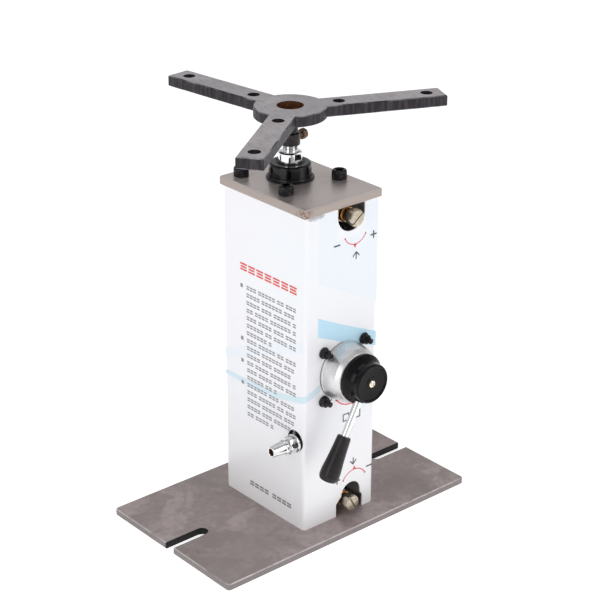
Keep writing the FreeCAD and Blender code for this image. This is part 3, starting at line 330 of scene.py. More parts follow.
def blued_steel():
    look = Look("blued_steel", metallic=0.6, roughness=0.45)
    top = look.between(look.component("Normal", "Z"), 0.86, 0.97)
    broad = look.patches(0.32, 0.68, 14, 4, distortion=0.5)
    brushed = look.noise(240, 3, stretch=(1.6, 0.35, 1.6), roughness=0.7)
    ground = look.mix(broad, (0.400, 0.385, 0.405), (0.540, 0.515, 0.535))
    ground = look.mix(look.between(brushed, 0.50, 0.66), ground, (0.380, 0.325, 0.315))
    tint = look.patches(0.60, 0.75, 30, 4, distortion=0.9)
    ground = look.mix(look.part(tint, 0.4), ground, (0.430, 0.300, 0.270))
    cut = look.noise(300, 3, stretch=(1, 1, 0.12))
    side = look.mix(look.between(cut, 0.35, 0.68), (0.020, 0.016, 0.020), (0.052, 0.046, 0.056))
    tone = look.mix(top, side, ground)
    # partly edge wear, partly painted highlight: the chamfers are lighter in patches
    edge_wear_and_highlight = look.part(look.edge(), look.patches(0.35, 0.7, 45, 4))
    tone = look.mix(look.part(edge_wear_and_highlight, 0.8), tone, (0.46, 0.45, 0.47))
    from_axis = look.distance(look.stretched((1, 1, 0)), (axis.x, axis.y, 0))
    head_top = high("head_spider").z
    below_top = look.between(look.component("Object", "Z"), (head_top - 1.2) * MM,
                             (head_top - 0.2) * MM, 1.0, 0.0)
    in_bore = look.part(below_top, look.between(from_axis, 14.2 * MM, 15.0 * MM, 1.0, 0.0))
    rust = look.mix(look.patches(0.3, 0.7, 300, 5), (0.115, 0.035, 0.010), (0.230, 0.090, 0.030))
    tone = look.mix(in_bore, tone, rust)
    look.colour(tone)
    look.rough(look.between(look.maths("SUBTRACT", brushed, look.part(top, 0.2)),
                            0.1, 0.7, 0.34, 0.58))
    look.bump(cut, 0.10 * MM, 0.35)
    look.bump(brushed, 0.02 * MM, 0.35)
    return look


def white_sheet():
    look = Look("white_sheet", roughness=0.36, coat=0.25, coat_roughness=0.12, specular=0.45)
    cloud = look.patches(0.35, 0.7, 7, 2, distortion=0.4)
    tone = look.mix(cloud, (0.865, 0.862, 0.895), (0.845, 0.875, 0.905))
    # painted light: the lowest 0.13 m of the column is lighter, offsetting the shade from the
    # base plate
    foot = column_low.z * MM
    above_foot = look.between(look.component("Object", "Z"), foot, foot + 0.13)
    tone = look.mix(above_foot, (0.900, 0.895, 0.910), tone)
    dust = look.patches(0.66, 0.80, 420, 4)
    tone = look.mix(look.part(dust, 0.15), tone, (0.62, 0.61, 0.60))
    look.colour(tone)
    look.rough(look.between(cloud, 0.0, 1.0, 0.32, 0.42))
    look.bump(look.noise(220, 3), 0.03 * MM, 0.25)
    return look


def metal_look(name, dark, light, roughness, grain=400, stretch=(1, 1, 1), depth=0.01,
               metallic=1.0, spot=None, spread=0.08):
    """Plain machined or plated metal: two close tones, a fine grain and a few marks."""
    look = Look(name, metallic=metallic, roughness=roughness)
    broad = look.patches(0.3, 0.7, 60, 3)
    fine = look.noise(grain, 3, stretch=stretch)
    tone = look.mix(broad, dark, light)
    if spot:
        marks = look.patches(0.56, 0.70, 240, 5, distortion=0.8)
        tone = look.mix(marks, tone, spot)
    look.colour(tone)
    look.rough(look.between(fine, 0.25, 0.75, max(roughness - spread, 0.02), roughness + spread))
    look.bump(fine, depth * MM, 0.35)
    return look


def plastic_look(name, dark, light, roughness, coat, grain=900, depth=0.01, spread=0.05,
                 specular=0.22):
    """Moulded plastic, rubber or paint."""
    look = Look(name, roughness=roughness, coat=coat, coat_roughness=0.06, specular=specular)
    broad = look.patches(0.3, 0.7, 45, 3)
    fine = look.noise(grain, 3)
    tone = look.mix(broad, dark, light)
    scuffs = look.patches(0.68, 0.78, 130, 4, stretch=(1, 1, 0.3), distortion=0.7)
    tone = look.mix(look.part(scuffs, 0.25), tone, tuple(min(1.0, c * 2.2 + 0.02) for c in light))
    look.colour(tone)
    look.rough(look.between(fine, 0.3, 0.7, max(roughness - spread, 0.03), roughness + spread))
    look.bump(fine, depth * MM, 0.4)
    return look


def ink(name, colour, paler):
    """Printed ink, slightly uneven where it covers the film."""
    look = Look(name, roughness=0.4, coat=0.2)
    cover = look.patches(0.3, 0.75, 500, 3)
    look.colour(look.mix(look.part(cover, 0.5), colour, paler))
    look.bump(cover, 0.004 * MM, 0.3)
    return look


# dark tone, light tone, roughness and anything special of each plain metal
METALS = {
    "black_screw": ((0.012, 0.011, 0.012), (0.030, 0.027, 0.029), 0.28,
                    {"metallic": 0.75, "spot": (0.07, 0.06, 0.065)}),
    "barrel_aluminium": ((0.60, 0.61, 0.63), (0.72, 0.73, 0.75), 0.30,
                         {"stretch": (1, 1, 0.05)}),
    "cast_aluminium": ((0.62, 0.61, 0.61), (0.78, 0.77, 0.77), 0.34,
                       {"grain": 520, "depth": 0.03, "metallic": 0.85}),
    "zinc_steel": ((0.52, 0.53, 0.54), (0.66, 0.66, 0.64), 0.28, {}),
    "brass": ((0.62, 0.44, 0.18), (0.76, 0.58, 0.28), 0.25, {}),
    "brass_zinc": ((0.72, 0.66, 0.50), (0.86, 0.82, 0.70), 0.22, {"spot": (0.62, 0.46, 0.20)}),
    "bronze": ((0.52, 0.27, 0.09), (0.78, 0.46, 0.18), 0.30, {"spot": (0.24, 0.11, 0.04)}),
    "rod_chrome": ((0.78, 0.78, 0.80), (0.86, 0.86, 0.87), 0.06,
                   {"depth": 0.002, "spread": 0.03}),
    "black_steel": ((0.008, 0.007, 0.008), (0.020, 0.017, 0.018), 0.26,
                    {"metallic": 0.6, "spot": (0.07, 0.04, 0.03)}),
    "rusty_steel": ((0.165, 0.085, 0.045), (0.30, 0.20, 0.13), 0.55,
                    {"grain": 700, "depth": 0.08, "metallic": 0.35,
                     "spot": (0.10, 0.045, 0.025)}),
    "spring_steel": ((0.35, 0.35, 0.36), (0.48, 0.48, 0.50), 0.25, {}),
    "lever_chrome": ((0.76, 0.78, 0.78), (0.86, 0.87, 0.87), 0.07,
                     {"depth": 0.002, "spread": 0.03}),
    "plug_chrome": ((0.66, 0.66, 0.66), (0.84, 0.84, 0.84), 0.10,
                    {"depth": 0.006, "spread": 0.05}),
    "nickel_brass": ((0.50, 0.46, 0.38), (0.66, 0.62, 0.54), 0.26,
                     {"spot": (0.36, 0.29, 0.19)}),
    "dull_nickel": ((0.42, 0.37, 0.29), (0.66, 0.59, 0.49), 0.36,
                    {"depth": 0.03, "spot": (0.22, 0.18, 0.13)}),
    "bore_rust": ((0.035, 0.012, 0.008), (0.085, 0.030, 0.018), 0.6, {"metallic": 0.2}),
}

# dark tone, light tone, roughness, coat and anything special of each plastic or paint
PLASTICS = {
    "black_cap": ((0.003, 0.003, 0.003), (0.006, 0.005, 0.006), 0.14, 0.16, {}),
    "black_rubber": ((0.004, 0.004, 0.004), (0.008, 0.007, 0.008), 0.28, 0.08, {}),
    "wear_plastic": ((0.05, 0.16, 0.10), (0.08, 0.22, 0.14), 0.4, 0.0, {}),
    "black_gloss_plastic": ((0.004, 0.003, 0.004), (0.007, 0.006, 0.007), 0.10, 0.06,
                            {"specular": 0.12}),
    "black_matte_plastic": ((0.014, 0.011, 0.012), (0.022, 0.018, 0.019), 0.34, 0.05,
                            {"grain": 1400, "depth": 0.03}),
    "hose_plastic": ((0.012, 0.014, 0.022), (0.022, 0.026, 0.036), 0.25, 0.3, {}),
}

# full tone and thin tone of each print
INKS = {
    "black_ink": ((0.050, 0.052, 0.056), (0.16, 0.16, 0.17)),
    "grey_ink": ((0.20, 0.20, 0.21), (0.38, 0.38, 0.39)),
    "red_ink": ((0.72, 0.030, 0.022), (0.86, 0.13, 0.09)),
    "blue_ink": ((0.470, 0.725, 0.880), (0.56, 0.79, 0.92)),
    "soft_blue_ink": ((0.62, 0.775, 0.845), (0.68, 0.81, 0.87)),
    "pale_ink": ((0.800, 0.850, 0.905), (0.83, 0.865, 0.91)),
    "torn_paper": ((0.87, 0.87, 0.88), (0.80, 0.80, 0.80)),
}


def make_looks():
    made = {"mill_scale_steel": mill_scale_steel(), "ground_steel": ground_steel(),
            "blued_steel": blued_steel(), "white_sheet": white_sheet()}
    for name, (dark, light, roughness, special) in METALS.items():
        made[name] = metal_look(name, dark, light, roughness, **special)
    for name, (dark, light, roughness, coat, special) in PLASTICS.items():
        made[name] = plastic_look(name, dark, light, roughness, coat, **special)
    for name, (full, thin) in INKS.items():
        made[name] = ink(name, full, thin)
    return {name: look.material for name, look in made.items()}


# ------------------------------------------------------------ mesh helpers
SMOOTH_BELOW = 32.0          # degrees between faces that shade as one
CARVED_SMOOTH_BELOW = 25.0


def add_piece(name, mesh, look, body, replaced=(), slot=None, smooth_below=SMOOTH_BELOW):
    """A visible piece that moves with a body; its slot argument is not used."""
    slot = slot or look
    mesh.materials.clear()
    mesh.materials.append(looks[look])
    mesh.polygons.foreach_set("use_smooth", [True] * len(mesh.polygons))
    mesh.set_sharp_from_angle(angle=math.radians(smooth_below))
    piece = linked(name, mesh)
    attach(piece, body)
    if replaced:
        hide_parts(*replaced)


def raised(x, y, z=0.0):
    """Matrix for a shape that stands upright at a point."""
    return TO_METRES @ Matrix.Translation((x, y, z))


def along(start, direction):
    """Matrix that carries local +Z to a direction at a start point."""
    direction = Vector(direction).normalized()
    side = UP if abs(direction.z) < 0.9 else Vector((1, 0, 0))
    across = side.cross(direction).normalized()
    other = direction.cross(across)
    turned = Matrix((across, other, direction)).transposed().to_4x4()
    return TO_METRES @ Matrix.Translation(start) @ turned


def outward(x, z, y=face):
    """Matrix for a shape that stands out of the front face, along -Y."""
    return along(Vector((x, y, z)), FRONT)


def softened(points, arc_steps=5):
    """Rows (height, radius) with each third number taken as the radius of its corner."""
    rows = []
    for i, point in enumerate(points):
        if len(point) < 3 or i in (0, len(points) - 1):
            rows.append(tuple(point[:2]))
            continue
        here = Vector(point[:2])
        to_last = Vector(points[i - 1][:2]) - here
        to_next = Vector(points[i + 1][:2]) - here
        half = to_last.angle(to_next) / 2
        reach = min(point[2] / math.tan(half), 0.49 * to_last.length, 0.49 * to_next.length)
        start = here + to_last.normalized() * reach
        end = here + to_next.normalized() * reach
        for k in range(arc_steps + 1):
            t = k / arc_steps
            bend = start * (1 - t) ** 2 + here * 2 * t * (1 - t) + end * t * t
            rows.append((bend.x, bend.y))
    return rows


def lathe_mesh(name, rows, place, steps=96, ring=False):
    """Turned shape; a row's radius may be a function of the angle.  A ring joins its ends."""
    vertices = []
    levels = []
    for height, radius in rows:
        if not callable(radius) and radius <= 0:
            levels.append([len(vertices)])
            vertices.append(place @ Vector((0, 0, height)))
            continue
        level = []
        for i in range(steps):
            angle = 2 * math.pi * i / steps
            size = radius(angle) if callable(radius) else radius
            level.append(len(vertices))
            vertices.append(place @ Vector((size * math.cos(angle), size * math.sin(angle),
                                            height)))
        levels.append(level)
    pairs = list(zip(levels, levels[1:]))
    if ring:
        pairs.append((levels[-1], levels[0]))
    faces = []
    for one, two in pairs:
        if len(one) == 1 and len(two) == 1:
            continue
        for i in range(steps):
            j = (i + 1) % steps
            if len(one) == 1:
                faces.append((one[0], two[j], two[i]))
            elif len(two) == 1:
                faces.append((one[i], one[j], two[0]))
            else:
                faces.append((one[i], one[j], two[j], two[i]))
    mesh = bpy.data.meshes.new(name)
    mesh.from_pydata(vertices, [], faces)
    work = bmesh.new()
    work.from_mesh(mesh)
    bmesh.ops.remove_doubles(work, verts=work.verts, dist=0.001 * MM)
    bmesh.ops.recalc_face_normals(work, faces=work.faces)
    work.to_mesh(mesh)
    work.free()
    return mesh


def turned_piece(name, rows, place, look, body, replaced=(), steps=96, ring=False, slot=None):
    add_piece(name, lathe_mesh(name, rows, place, steps, ring), look, body, replaced, slot)


def finished(work, name):
    mesh = bpy.data.meshes.new(name)
    work.to_mesh(mesh)
    work.free()
    return mesh


def joined(name, meshes):
    work = bmesh.new()
    for mesh in meshes:
        work.from_mesh(mesh)
    return finished(work, name)


def carved(mesh, cutters):
    """The mesh less each cutter mesh."""
    piece = linked("work", mesh)
    tools = []
    for cutter in cutters:
        tool = linked("tool", cutter)
        cut = piece.modifiers.new("cut", "BOOLEAN")
        cut.operation = "DIFFERENCE"
        cut.solver = "EXACT"
        cut.object = tool
        tools.append(tool)
    bpy.context.view_layer.update()
    graph = bpy.context.evaluated_depsgraph_get()
    result = bpy.data.meshes.new_from_object(piece.evaluated_get(graph))
    for thing in tools + [piece]:
        bpy.data.objects.remove(thing)
    return result


def block_mesh(name, size, place):
    work = bmesh.new()
    bmesh.ops.create_cube(work, size=1.0)
    mesh = finished(work, name)
    mesh.transform(place @ Matrix.Diagonal((*size, 1)))
    return mesh


def hexagon(across, limit=None, turn=0.0):
    """Radius of a hexagon at an angle, or of a circle where that is smaller."""
    def radius(angle):
        folded = (angle - turn) % (math.pi / 3) - math.pi / 6
        flat = across / 2 / math.cos(folded)
        return flat if limit is None else min(flat, limit)
    return radius


def hexagon_rows(across, start, end, turn=0.0, bevel_start=False, bevel_end=True):
    """Rows of a hexagon whose corners are turned off at its ends."""
    corner = across / math.sqrt(3)
    end_r = across / 2 * 0.96
    drop = (corner - end_r) * 0.58
    steps = 7
    rows = []
    for k in range(steps + 1) if bevel_start else ():
        part = k / steps
        rows.append((start + drop * part, hexagon(across, end_r + (corner - end_r) * part, turn)))
    if not bevel_start:
        rows.append((start, hexagon(across, corner, turn)))
    if not bevel_end:
        rows.append((end, hexagon(across, corner, turn)))
    for k in range(steps, -1, -1) if bevel_end else ():
        part = k / steps
        rows.append((end - drop * part, hexagon(across, end_r + (corner - end_r) * part, turn)))
    return rows


def thread_rows(start, end, outer_d, pitch, depth, fade=0.6):
    """Rows of a screw thread that runs out over fade pitches at each end."""
    count = max(8, round((end - start) / pitch * 8))
    rows = []
    for i in range(count + 1):
        height = start + (end - start) * i / count
        room = min(height - start, end - height) / (fade * pitch)
        cut = depth * min(1.0, max(0.15, room))

        def radius(angle, height=height, cut=cut):
            phase = (height / pitch - angle / (2 * math.pi)) % 1.0
            return outer_d / 2 - cut * abs(2 * phase - 1)
        rows.append((height, radius))
    return rows


def knurled(radius, ridges, depth):
    def at(angle):
        return radius - depth * (0.5 - 0.5 * math.cos(ridges * angle)) ** 2
    return at


# ------------------------------------------------------------ turned pieces
def tie_places():
    rod_r = 5
    lo = low("tie_rods")
    hi = high("tie_rods")
    return [(x, y) for x in (lo.x + rod_r, hi.x - rod_r) for y in (lo.y + rod_r, hi.y - rod_r)]


def top_screws():
    head = 10
    head_r = 8
    shank_r = 5
    shank = low("top_screws").z - plate_top
    socket = 8
    ridge = 0.28
    meshes = []
    for i, (x, y) in enumerate(tie_places()):
        turn = math.radians((0, 22.5, 45, 7.5)[i])
        rows = [(shank, 0), (shank, shank_r - 0.6)]
        rows += thread_rows(shank + 0.5, -10, 2 * shank_r, 1.5, 0.7)
        rows += [(-9.5, shank_r), (0, shank_r), (0, head_r - 0.8), (0.5, head_r - 0.1)]
        for k in range(9):
            depth = ridge if 0 < k < 8 else 0.0
            rows.append((0.9 + 0.9 * k, knurled(head_r, 40, depth)))
        rows += [(9.0, head_r - 0.25), (9.6, head_r - 0.8), (head, head_r - 1.6), (head, 5.4),
                 (head - 0.5, 4.95), (head - 0.7, hexagon(socket, None, turn)),
                 (head - 5.5, hexagon(socket, None, turn)), (head - 7, 0)]
        meshes.append(lathe_mesh("screw", rows, raised(x, y, plate_top), 240))
    add_piece("cap_screws", joined("cap_screws", meshes), "black_screw", "jack_frame",
              ["top_screws"])


def gland_parts():
    base = raised(axis.x, axis.y, plate_top)
    inner = 22.6
    outer = (high("gland_gasket").x - low("gland_gasket").x) / 2
    tall = high("gland_gasket").z - plate_top
    rows = softened([(0, inner), (0, outer - 0.3, 0.3), (0.9, outer, 0.4),
                     (1.6, outer - 0.5, 0.3), (1.9, outer - 1.8, 1.2), (tall, inner + 0.5, 0.3),
                     (tall, inner)])
    turned_piece("gland_skirt", rows, base, "black_rubber",
                 "jack_frame", ["gland_gasket"], 128, ring=True)

    bottom = low("rod_gland").z - plate_top
    top = high("rod_gland").z - plate_top
    wiper_seat = top - 5
    bush_r = 15.1
    rows = softened([(bottom, bush_r), (bottom, 22.4, 0.3), (tall + 0.4, 22.4, 0.3),
                     (tall + 0.9, 22.5, 0.3), (top - 0.6, 22.1, 2.6), (top, 19.4, 1.2),
                     (top, bush_r + 0.6, 0.4), (top - 0.6, bush_r, 0.3), (wiper_seat, bush_r)])
    turned_piece("gland_boss", rows, base, "black_cap",
                 "jack_frame", ["rod_gland"], 128, ring=True)

    lip = high("rod_wiper").z - plate_top
    rod_r = 12.55
    rows = softened([(wiper_seat, rod_r), (wiper_seat, 14.95), (top - 0.5, 14.95, 0.4),
                     (top - 0.5, 14.0, 0.3), (lip, 13.3, 0.4), (lip - 0.5, rod_r)])
    turned_piece("wiper_ring", rows, base, "black_rubber",
                 "jack_frame", ["rod_wiper"], 128, ring=True)


def lift_rod():
    """Hard-chromed rod with two spanner flats, a chamfered shoulder and a threaded stud."""
    base = raised(axis.x, axis.y)
    lo = low("piston_rod").z
    hi = high("piston_rod").z
    stud_long = 19
    flats_long = 9
    half_across_flats = 11
    shoulder = hi - stud_long
    flat_start = shoulder - flats_long
    radius = 12.5
    piston_top = high("piston").z
    facing = math.radians(96.4)

    def flats(angle):
        across = half_across_flats / max(abs(math.cos(angle - facing)), 1e-3)
        return min(radius, across)

    def flats_bevelled(limit):
        return lambda angle: min(limit, flats(angle))

    rows = [(lo, 0), (lo, 7), (lo + 1, 8), (piston_top, 8), (piston_top, radius),
            (flat_start - 0.1, radius), (flat_start, flats), (shoulder - 1.3, flats)]
    for k in range(1, 7):
        rows.append((shoulder - 1.3 + 1.3 * k / 6, flats_bevelled(radius - 2.2 * k / 6)))
    rows += [(shoulder, 7.6), (shoulder + 0.8, 7.2)]
    rows += thread_rows(shoulder + 1.2, hi - 1.2, 16, 1.5, 0.75)
    rows += [(hi - 0.3, 7.0), (hi, 6.4), (hi, 0)]
    turned_piece("chromed_rod", rows, base, "rod_chrome", "lift_rod", ["piston_rod"], 192)


def set_bolt():
    angle = math.radians(6.0)
    out = Vector((math.cos(angle), math.sin(angle), 0))
    above_collar_foot = 6.5
    start = Vector((axis.x, axis.y, low("head_stem").z + above_collar_foot))
    tip = 8.05
    head = 15.5
    end = 22
    rows = [(tip, 0), (tip, 2.2)]
    rows += thread_rows(tip + 0.4, head - 0.8, 6, 1.0, 0.5)
    rows += [(head - 0.5, 3.0), (head, 3.1), (head, 4.6), (head + 0.3, 4.8)]
    rows += hexagon_rows(10, head + 0.35, end - 0.2, math.radians(15))
    rows += [(end, 4.3), (end, 0)]
    turned_piece("clamp_bolt", rows, along(start, out), "rusty_steel",
                 "lifting_head", ["set_bolt"], 192)


def head_collar():
    """Blackened collar over the stud, its neck, and the weld bead under the hub."""
    lo = low("head_stem").z
    hi = high("head_stem").z
    hub = low("head_spider").z
    base = raised(axis.x, axis.y)
    rows = softened([(lo, 8.06), (lo, 10.5, 0.8), (lo + 13, 10.5, 1.2), (lo + 13, 8.2, 0.8),
                     (hub - 3.4, 8.0)])
    for k in range(6):
        bulge = math.sin(math.pi / 2 * k / 5)
        rows.append((hub - 3.2 + 3.1 * k / 5, weld(8.0 + 2.6 * bulge)))
    rows += [(hub - 0.02, 8.0), (hi - 0.3, 7.95), (hi, 7.4), (hi, 0)]
    rows = [(lo + 12, 0), (lo + 12, 8.06)] + rows
    turned_piece("stud_collar", rows, base, "black_steel", "lifting_head", ["head_stem"], 144)


def weld(radius):
    def at(angle):
        return radius + 0.25 * math.sin(22 * angle) + 0.12 * math.sin(37 * angle)
    return at


# ------------------------------------------------------------ hand valve
def valve_dome():
    outer = (high("valve_dome").x - low("valve_dome").x) / 2
    tall = face - low("valve_dome").y
    bore = 6.05
    rows = softened([(-1.5, 22), (-1.5, outer - 0.2, 0.4), (2.2, outer, 0.6),
                     (2.9, outer - 0.7, 0.3), (3.6, outer - 0.7, 0.3), (4.3, outer - 0.2, 0.5),
                     (12, outer - 1.2, 6), (19.4, outer - 2.4, 3.2),
                     (tall - 0.6, outer - 5.2, 1.8), (tall, outer - 7.5, 0.5), (tall, bore),
                     (tall - 4, bore), (tall - 4, 20), (tall - 9, 22)])
    turned_piece("valve_cover", rows, outward(valve.x, valve.z), "cast_aluminium",
                 "jack_frame", ["valve_dome"], 192, ring=True)


def valve_knob():
    """Glossy moulded knob: skirt, neck that takes the lever, and dished disc."""
    lo = low("valve_knob")
    hi = high("valve_knob")
    tall = hi.y - lo.y
    skirt = (hi.x - lo.x) / 2
    neck = 20.4
    disc = 21.5
    dish = tall - 1.5
    rows = softened([(0, 0), (0, skirt - 0.6, 0.5), (0.8, skirt, 0.5), (3.8, skirt, 1.2),
                     (5.4, skirt - 1.6, 2.0), (8.6, neck + 1.6, 4.0), (12.6, neck, 1.4),
                     (13.4, disc - 0.2, 0.5), (14.0, disc, 0.4), (tall - 1.6, disc, 1.2),
                     (tall, disc - 1.0, 1.0), (tall, disc - 2.6, 0.5), (dish, disc - 3.6, 0.8),
                     (dish - 0.3, 8.0, 0.5), (dish + 0.3, 7.2, 0.4), (dish + 0.3, 5.6, 0.4),
                     (dish - 0.2, 5.0, 0.3), (dish - 0.2, 0)], 6)
    body = lathe_mesh("knob_body", rows, outward(valve.x, valve.z, hi.y), 192)
    direction = lever_direction()
    boss_start = lever_point(18.2)
    rows = softened([(0, 0), (0, 7.4), (3.4, 6.6, 1.0), (4.6, 5.6, 0.6), (4.6, 4.1), (3.0, 4.1),
                     (3.0, 0)])
    boss = lathe_mesh("knob_boss", rows, along(boss_start, direction), 96)
    add_piece("control_knob", joined("control_knob", [body, boss]), "black_gloss_plastic",
              "hand_lever", ["valve_knob"])


def lever_direction():
    """From the knob's axis to the middle of the grip."""
    lever = middle("lever_rod") - Vector((valve.x, middle("lever_rod").y, valve.z))
    return lever.normalized()


def lever_point(reach):
    return Vector((valve.x, middle("lever_rod").y, valve.z)) + lever_direction() * reach


def lever_parts():
    direction = lever_direction()
    rod_start = 14
    rod_long = 58
    rod_r = 4.0
    grip_start = 62
    rows = softened([(0, 0), (0, rod_r, 0.4), (rod_long, rod_r, 0.4), (rod_long, 0)])
    turned_piece("chromed_lever", rows, along(lever_point(rod_start), direction), "lever_chrome",
                 "hand_lever", ["lever_rod"], 96)
    length = 51
    rows = softened([(6, 0), (6, 4.1), (0.6, 4.1), (0, 4.5), (0, 6.9, 0.5), (1.4, 7.5, 0.8),
                     (11, 8.0, 6), (26, 9.2, 20), (38, 10.55, 14), (45.5, 10.75, 5),
                     (49.8, 8.6, 3.4), (length, 4.5, 3), (length, 0)], 8)
    turned_piece("handle_grip", rows, along(lever_point(grip_start), direction),
                 "black_matte_plastic", "hand_lever", ["lever_grip"], 128)


def knob_screw():
    """Pan-head screw with a cross recess."""
    tall = 1.8
    place = outward(valve.x, valve.z, low("knob_screw").y + tall)
    rows = softened([(-12, 0), (-12, 2.3), (0, 2.3), (0, 4.1, 0.2), (0.7, 4.0, 0.5),
                     (1.5, 2.8, 0.8), (tall, 1.2, 0.6), (tall, 0)])
    screw = lathe_mesh("screw", rows, place, 96)
    recess = []
    for turn in (math.radians(20), math.radians(110)):
        arm = Matrix.Translation((0, 0, tall)) @ Matrix.Rotation(turn, 4, "Z")
        recess.append(block_mesh("arm", (4.6, 1.1, 2.4), place @ arm))
    add_piece("cross_screw", carved(screw, recess), "brass_zinc", "hand_lever",
              ["knob_screw"], smooth_below=CARVED_SMOOTH_BELOW)


def valve_fasteners():
    """Flange nuts on the four valve bolts, whose threaded ends stand out of them."""
    lo = low("valve_nuts")
    hi = high("valve_nuts")
    flange_r = 6.5
    places = [(x, z) for x in (lo.x + flange_r, hi.x - flange_r)
              for z in (lo.z + flange_r, hi.z - flange_r)]
    tall = face - lo.y
    out = face - low("valve_bolts").y
    back = face - high("valve_bolts").y
    nuts = []
    bolts = []
    for i, (x, z) in enumerate(places):
        turn = math.radians((7.5, 22.5, 48.75, 33.75)[i])
        place = outward(x, z)

        def serrated(angle):
            return 6.1 + 0.35 * (1 - abs(math.sin(12 * angle)))
        rows = [(0, 3.05), (0, 6.0), (0.2, serrated), (1.2, serrated), (1.6, 6.1), (1.9, 5.4)]
        rows += hexagon_rows(10, 2.0, tall, turn)
        rows += [(tall, 3.5), (tall - 0.4, 3.05)]
        nuts.append(lathe_mesh("nut", rows, place, 192, ring=True))
        head = back + 4
        rows = [(back, 0)] + hexagon_rows(10, back, head, turn, True, False)
        rows += [(head, 3), (-1, 3)]
        rows += thread_rows(-0.5, out - 0.7, 6, 1.0, 0.5)
        rows += [(out - 0.3, 2.4), (out, 2.0), (out, 0)]
        bolts.append(lathe_mesh("bolt", rows, place, 96))
    add_piece("flange_nuts", joined("flange_nuts", nuts), "black_screw", "jack_frame",
              ["valve_nuts"])
    add_piece("valve_studs", joined("valve_studs", bolts), "black_screw", "jack_frame",
              ["valve_bolts"])


# ------------------------------------------------------------ air plug and speed controllers
def quick_plug():
    hi = high("quick_plug")
    centre = middle("quick_plug")
    place = along(Vector((hi.x, centre.y, centre.z)), LEFT)
    length = hi.x - low("quick_plug").x
    bore = 4.0
    flange = softened([(0, 6.8), (0, 9.6, 0.4), (0.7, 10.2, 0.4),
                       (1.9, 10.2, 0.5), (2.6, 9.2, 0.3)])
    rows = flange + hexagon_rows(17, 2.7, 11.4, 0.0, True, True)
    rows += softened([(11.5, 6.8), (11.6, 6.6, 0.2), (13.0, 6.6, 0.4), (13.5, 7.9, 0.4),
                      (14.3, 8.1, 0.4), (16.2, 8.1, 0.6), (17.3, 7.4, 0.8), (19.8, 7.2, 2),
                      (length - 4.2, 6.2, 2), (length - 0.5, 5.9, 0.5), (length, 5.4, 0.3),
                      (length, bore + 0.4, 0.2), (length - 0.5, bore), (8.1, bore), (8.1, 6.8)])
    turned_piece("air_nipple", rows, place, "plug_chrome",
                 "jack_frame", ["quick_plug"], 192, ring=True)
    rows = [(length - 0.9, bore - 0.04), (9.0, bore - 0.04), (9.0, bore - 0.3),
            (length - 0.9, bore - 0.3)]
    turned_piece("nipple_bore_scale", rows, place, "bore_rust", "jack_frame",
                 steps=64, ring=True, slot="rusty_steel")


def speed_adjuster(which, slot_turn):
    """Slotted hexagon head of one adjuster, and the bronze sleeve behind it."""
    node = which + "_adjuster_screw"
    centre = middle(node)
    hi = high(node).y
    tall = hi - low(node).y
    place = outward(centre.x, centre.z, hi)
    rows = [(0, 0), (0, 6.4), (0.3, 6.8), (2.6, 6.8), (2.9, 7.4)]
    across = 17
    turn = math.radians(7.5)
    for k in range(5):
        rows.append((3.1 + 0.25 * k, hexagon(across, 8.3 + 0.25 * k, turn)))
    for k in range(7):
        rows.append((tall - 2.1 + 0.3 * k, hexagon(across, 9.3 - 0.03 * k ** 2, turn)))
    rows += [(tall, 7.2), (tall, 0)]
    head = lathe_mesh("head", rows, place, 192)
    slot = Matrix.Translation((0, 0, tall)) @ Matrix.Rotation(math.radians(slot_turn), 4, "Z")
    groove = block_mesh("groove", (24, 1.6, 4.0), place @ slot)
    add_piece(which + "_slotted_head", carved(head, [groove]), "dull_nickel",
              which + "_adjuster", [node], smooth_below=CARVED_SMOOTH_BELOW)

    sleeve = which + "_metering_sleeve"
    tall = high(sleeve).y - low(sleeve).y
    place = outward(centre.x, centre.z, high(sleeve).y)
    inner = 6.1
    rows = softened([(0, inner), (0, 8.5, 0.3), (1.2, 8.5, 0.2), (1.5, 8.0, 0.2), (2.4, 8.0, 0.2),
                     (2.7, 8.4, 0.2), (5.2, 8.4, 0.3), (5.8, 7.6, 0.3), (6.6, 7.6, 0.2),
                     (6.9, 8.2, 0.2), (tall, 8.1, 0.3), (tall, inner)])
    turned_piece(which + "_bronze_sleeve", rows, place, "bronze", "jack_frame", [sleeve],
                 128, ring=True)


# ------------------------------------------------------------ printing on the column
INK = 0.05   # thickness of a print


def front_point(u, v, lift):
    return Vector((u, face - lift, v))


def side_point(u, v, lift):
    """Left face seen from outside, with u to the right, along -Y."""
    return Vector((column_low.x - lift, -u, v))


def printed(name, look, shapes, point, layer=0):
    """Flat shapes of (u, v) points laid on a face as a film of ink."""
    work = bmesh.new()
    lift = (0.2 + 1.2 * layer) * INK
    for quad in shapes:
        lower = [work.verts.new(point(u, v, lift) * MM) for u, v in quad]
        upper = [work.verts.new(point(u, v, lift + INK) * MM) for u, v in quad]
        work.faces.new(lower)
        work.faces.new(upper[::-1])
        for i in range(len(quad)):
            j = (i + 1) % len(quad)
            work.faces.new((lower[i], upper[i], upper[j], lower[j]))
    bmesh.ops.recalc_face_normals(work, faces=work.faces)
    mesh = finished(work, name)
    add_piece(name, mesh, look, "jack_frame", slot="white_sheet")


def bar(u0, u1, v, height):
    return [(u0, v - height / 2), (u1, v - height / 2), (u1, v + height / 2),
            (u0, v + height / 2)]


def ribbon(left, right):
    """Quads between two lists of points."""
    return [[left[i], left[i + 1], right[i + 1], right[i]] for i in range(len(left) - 1)]


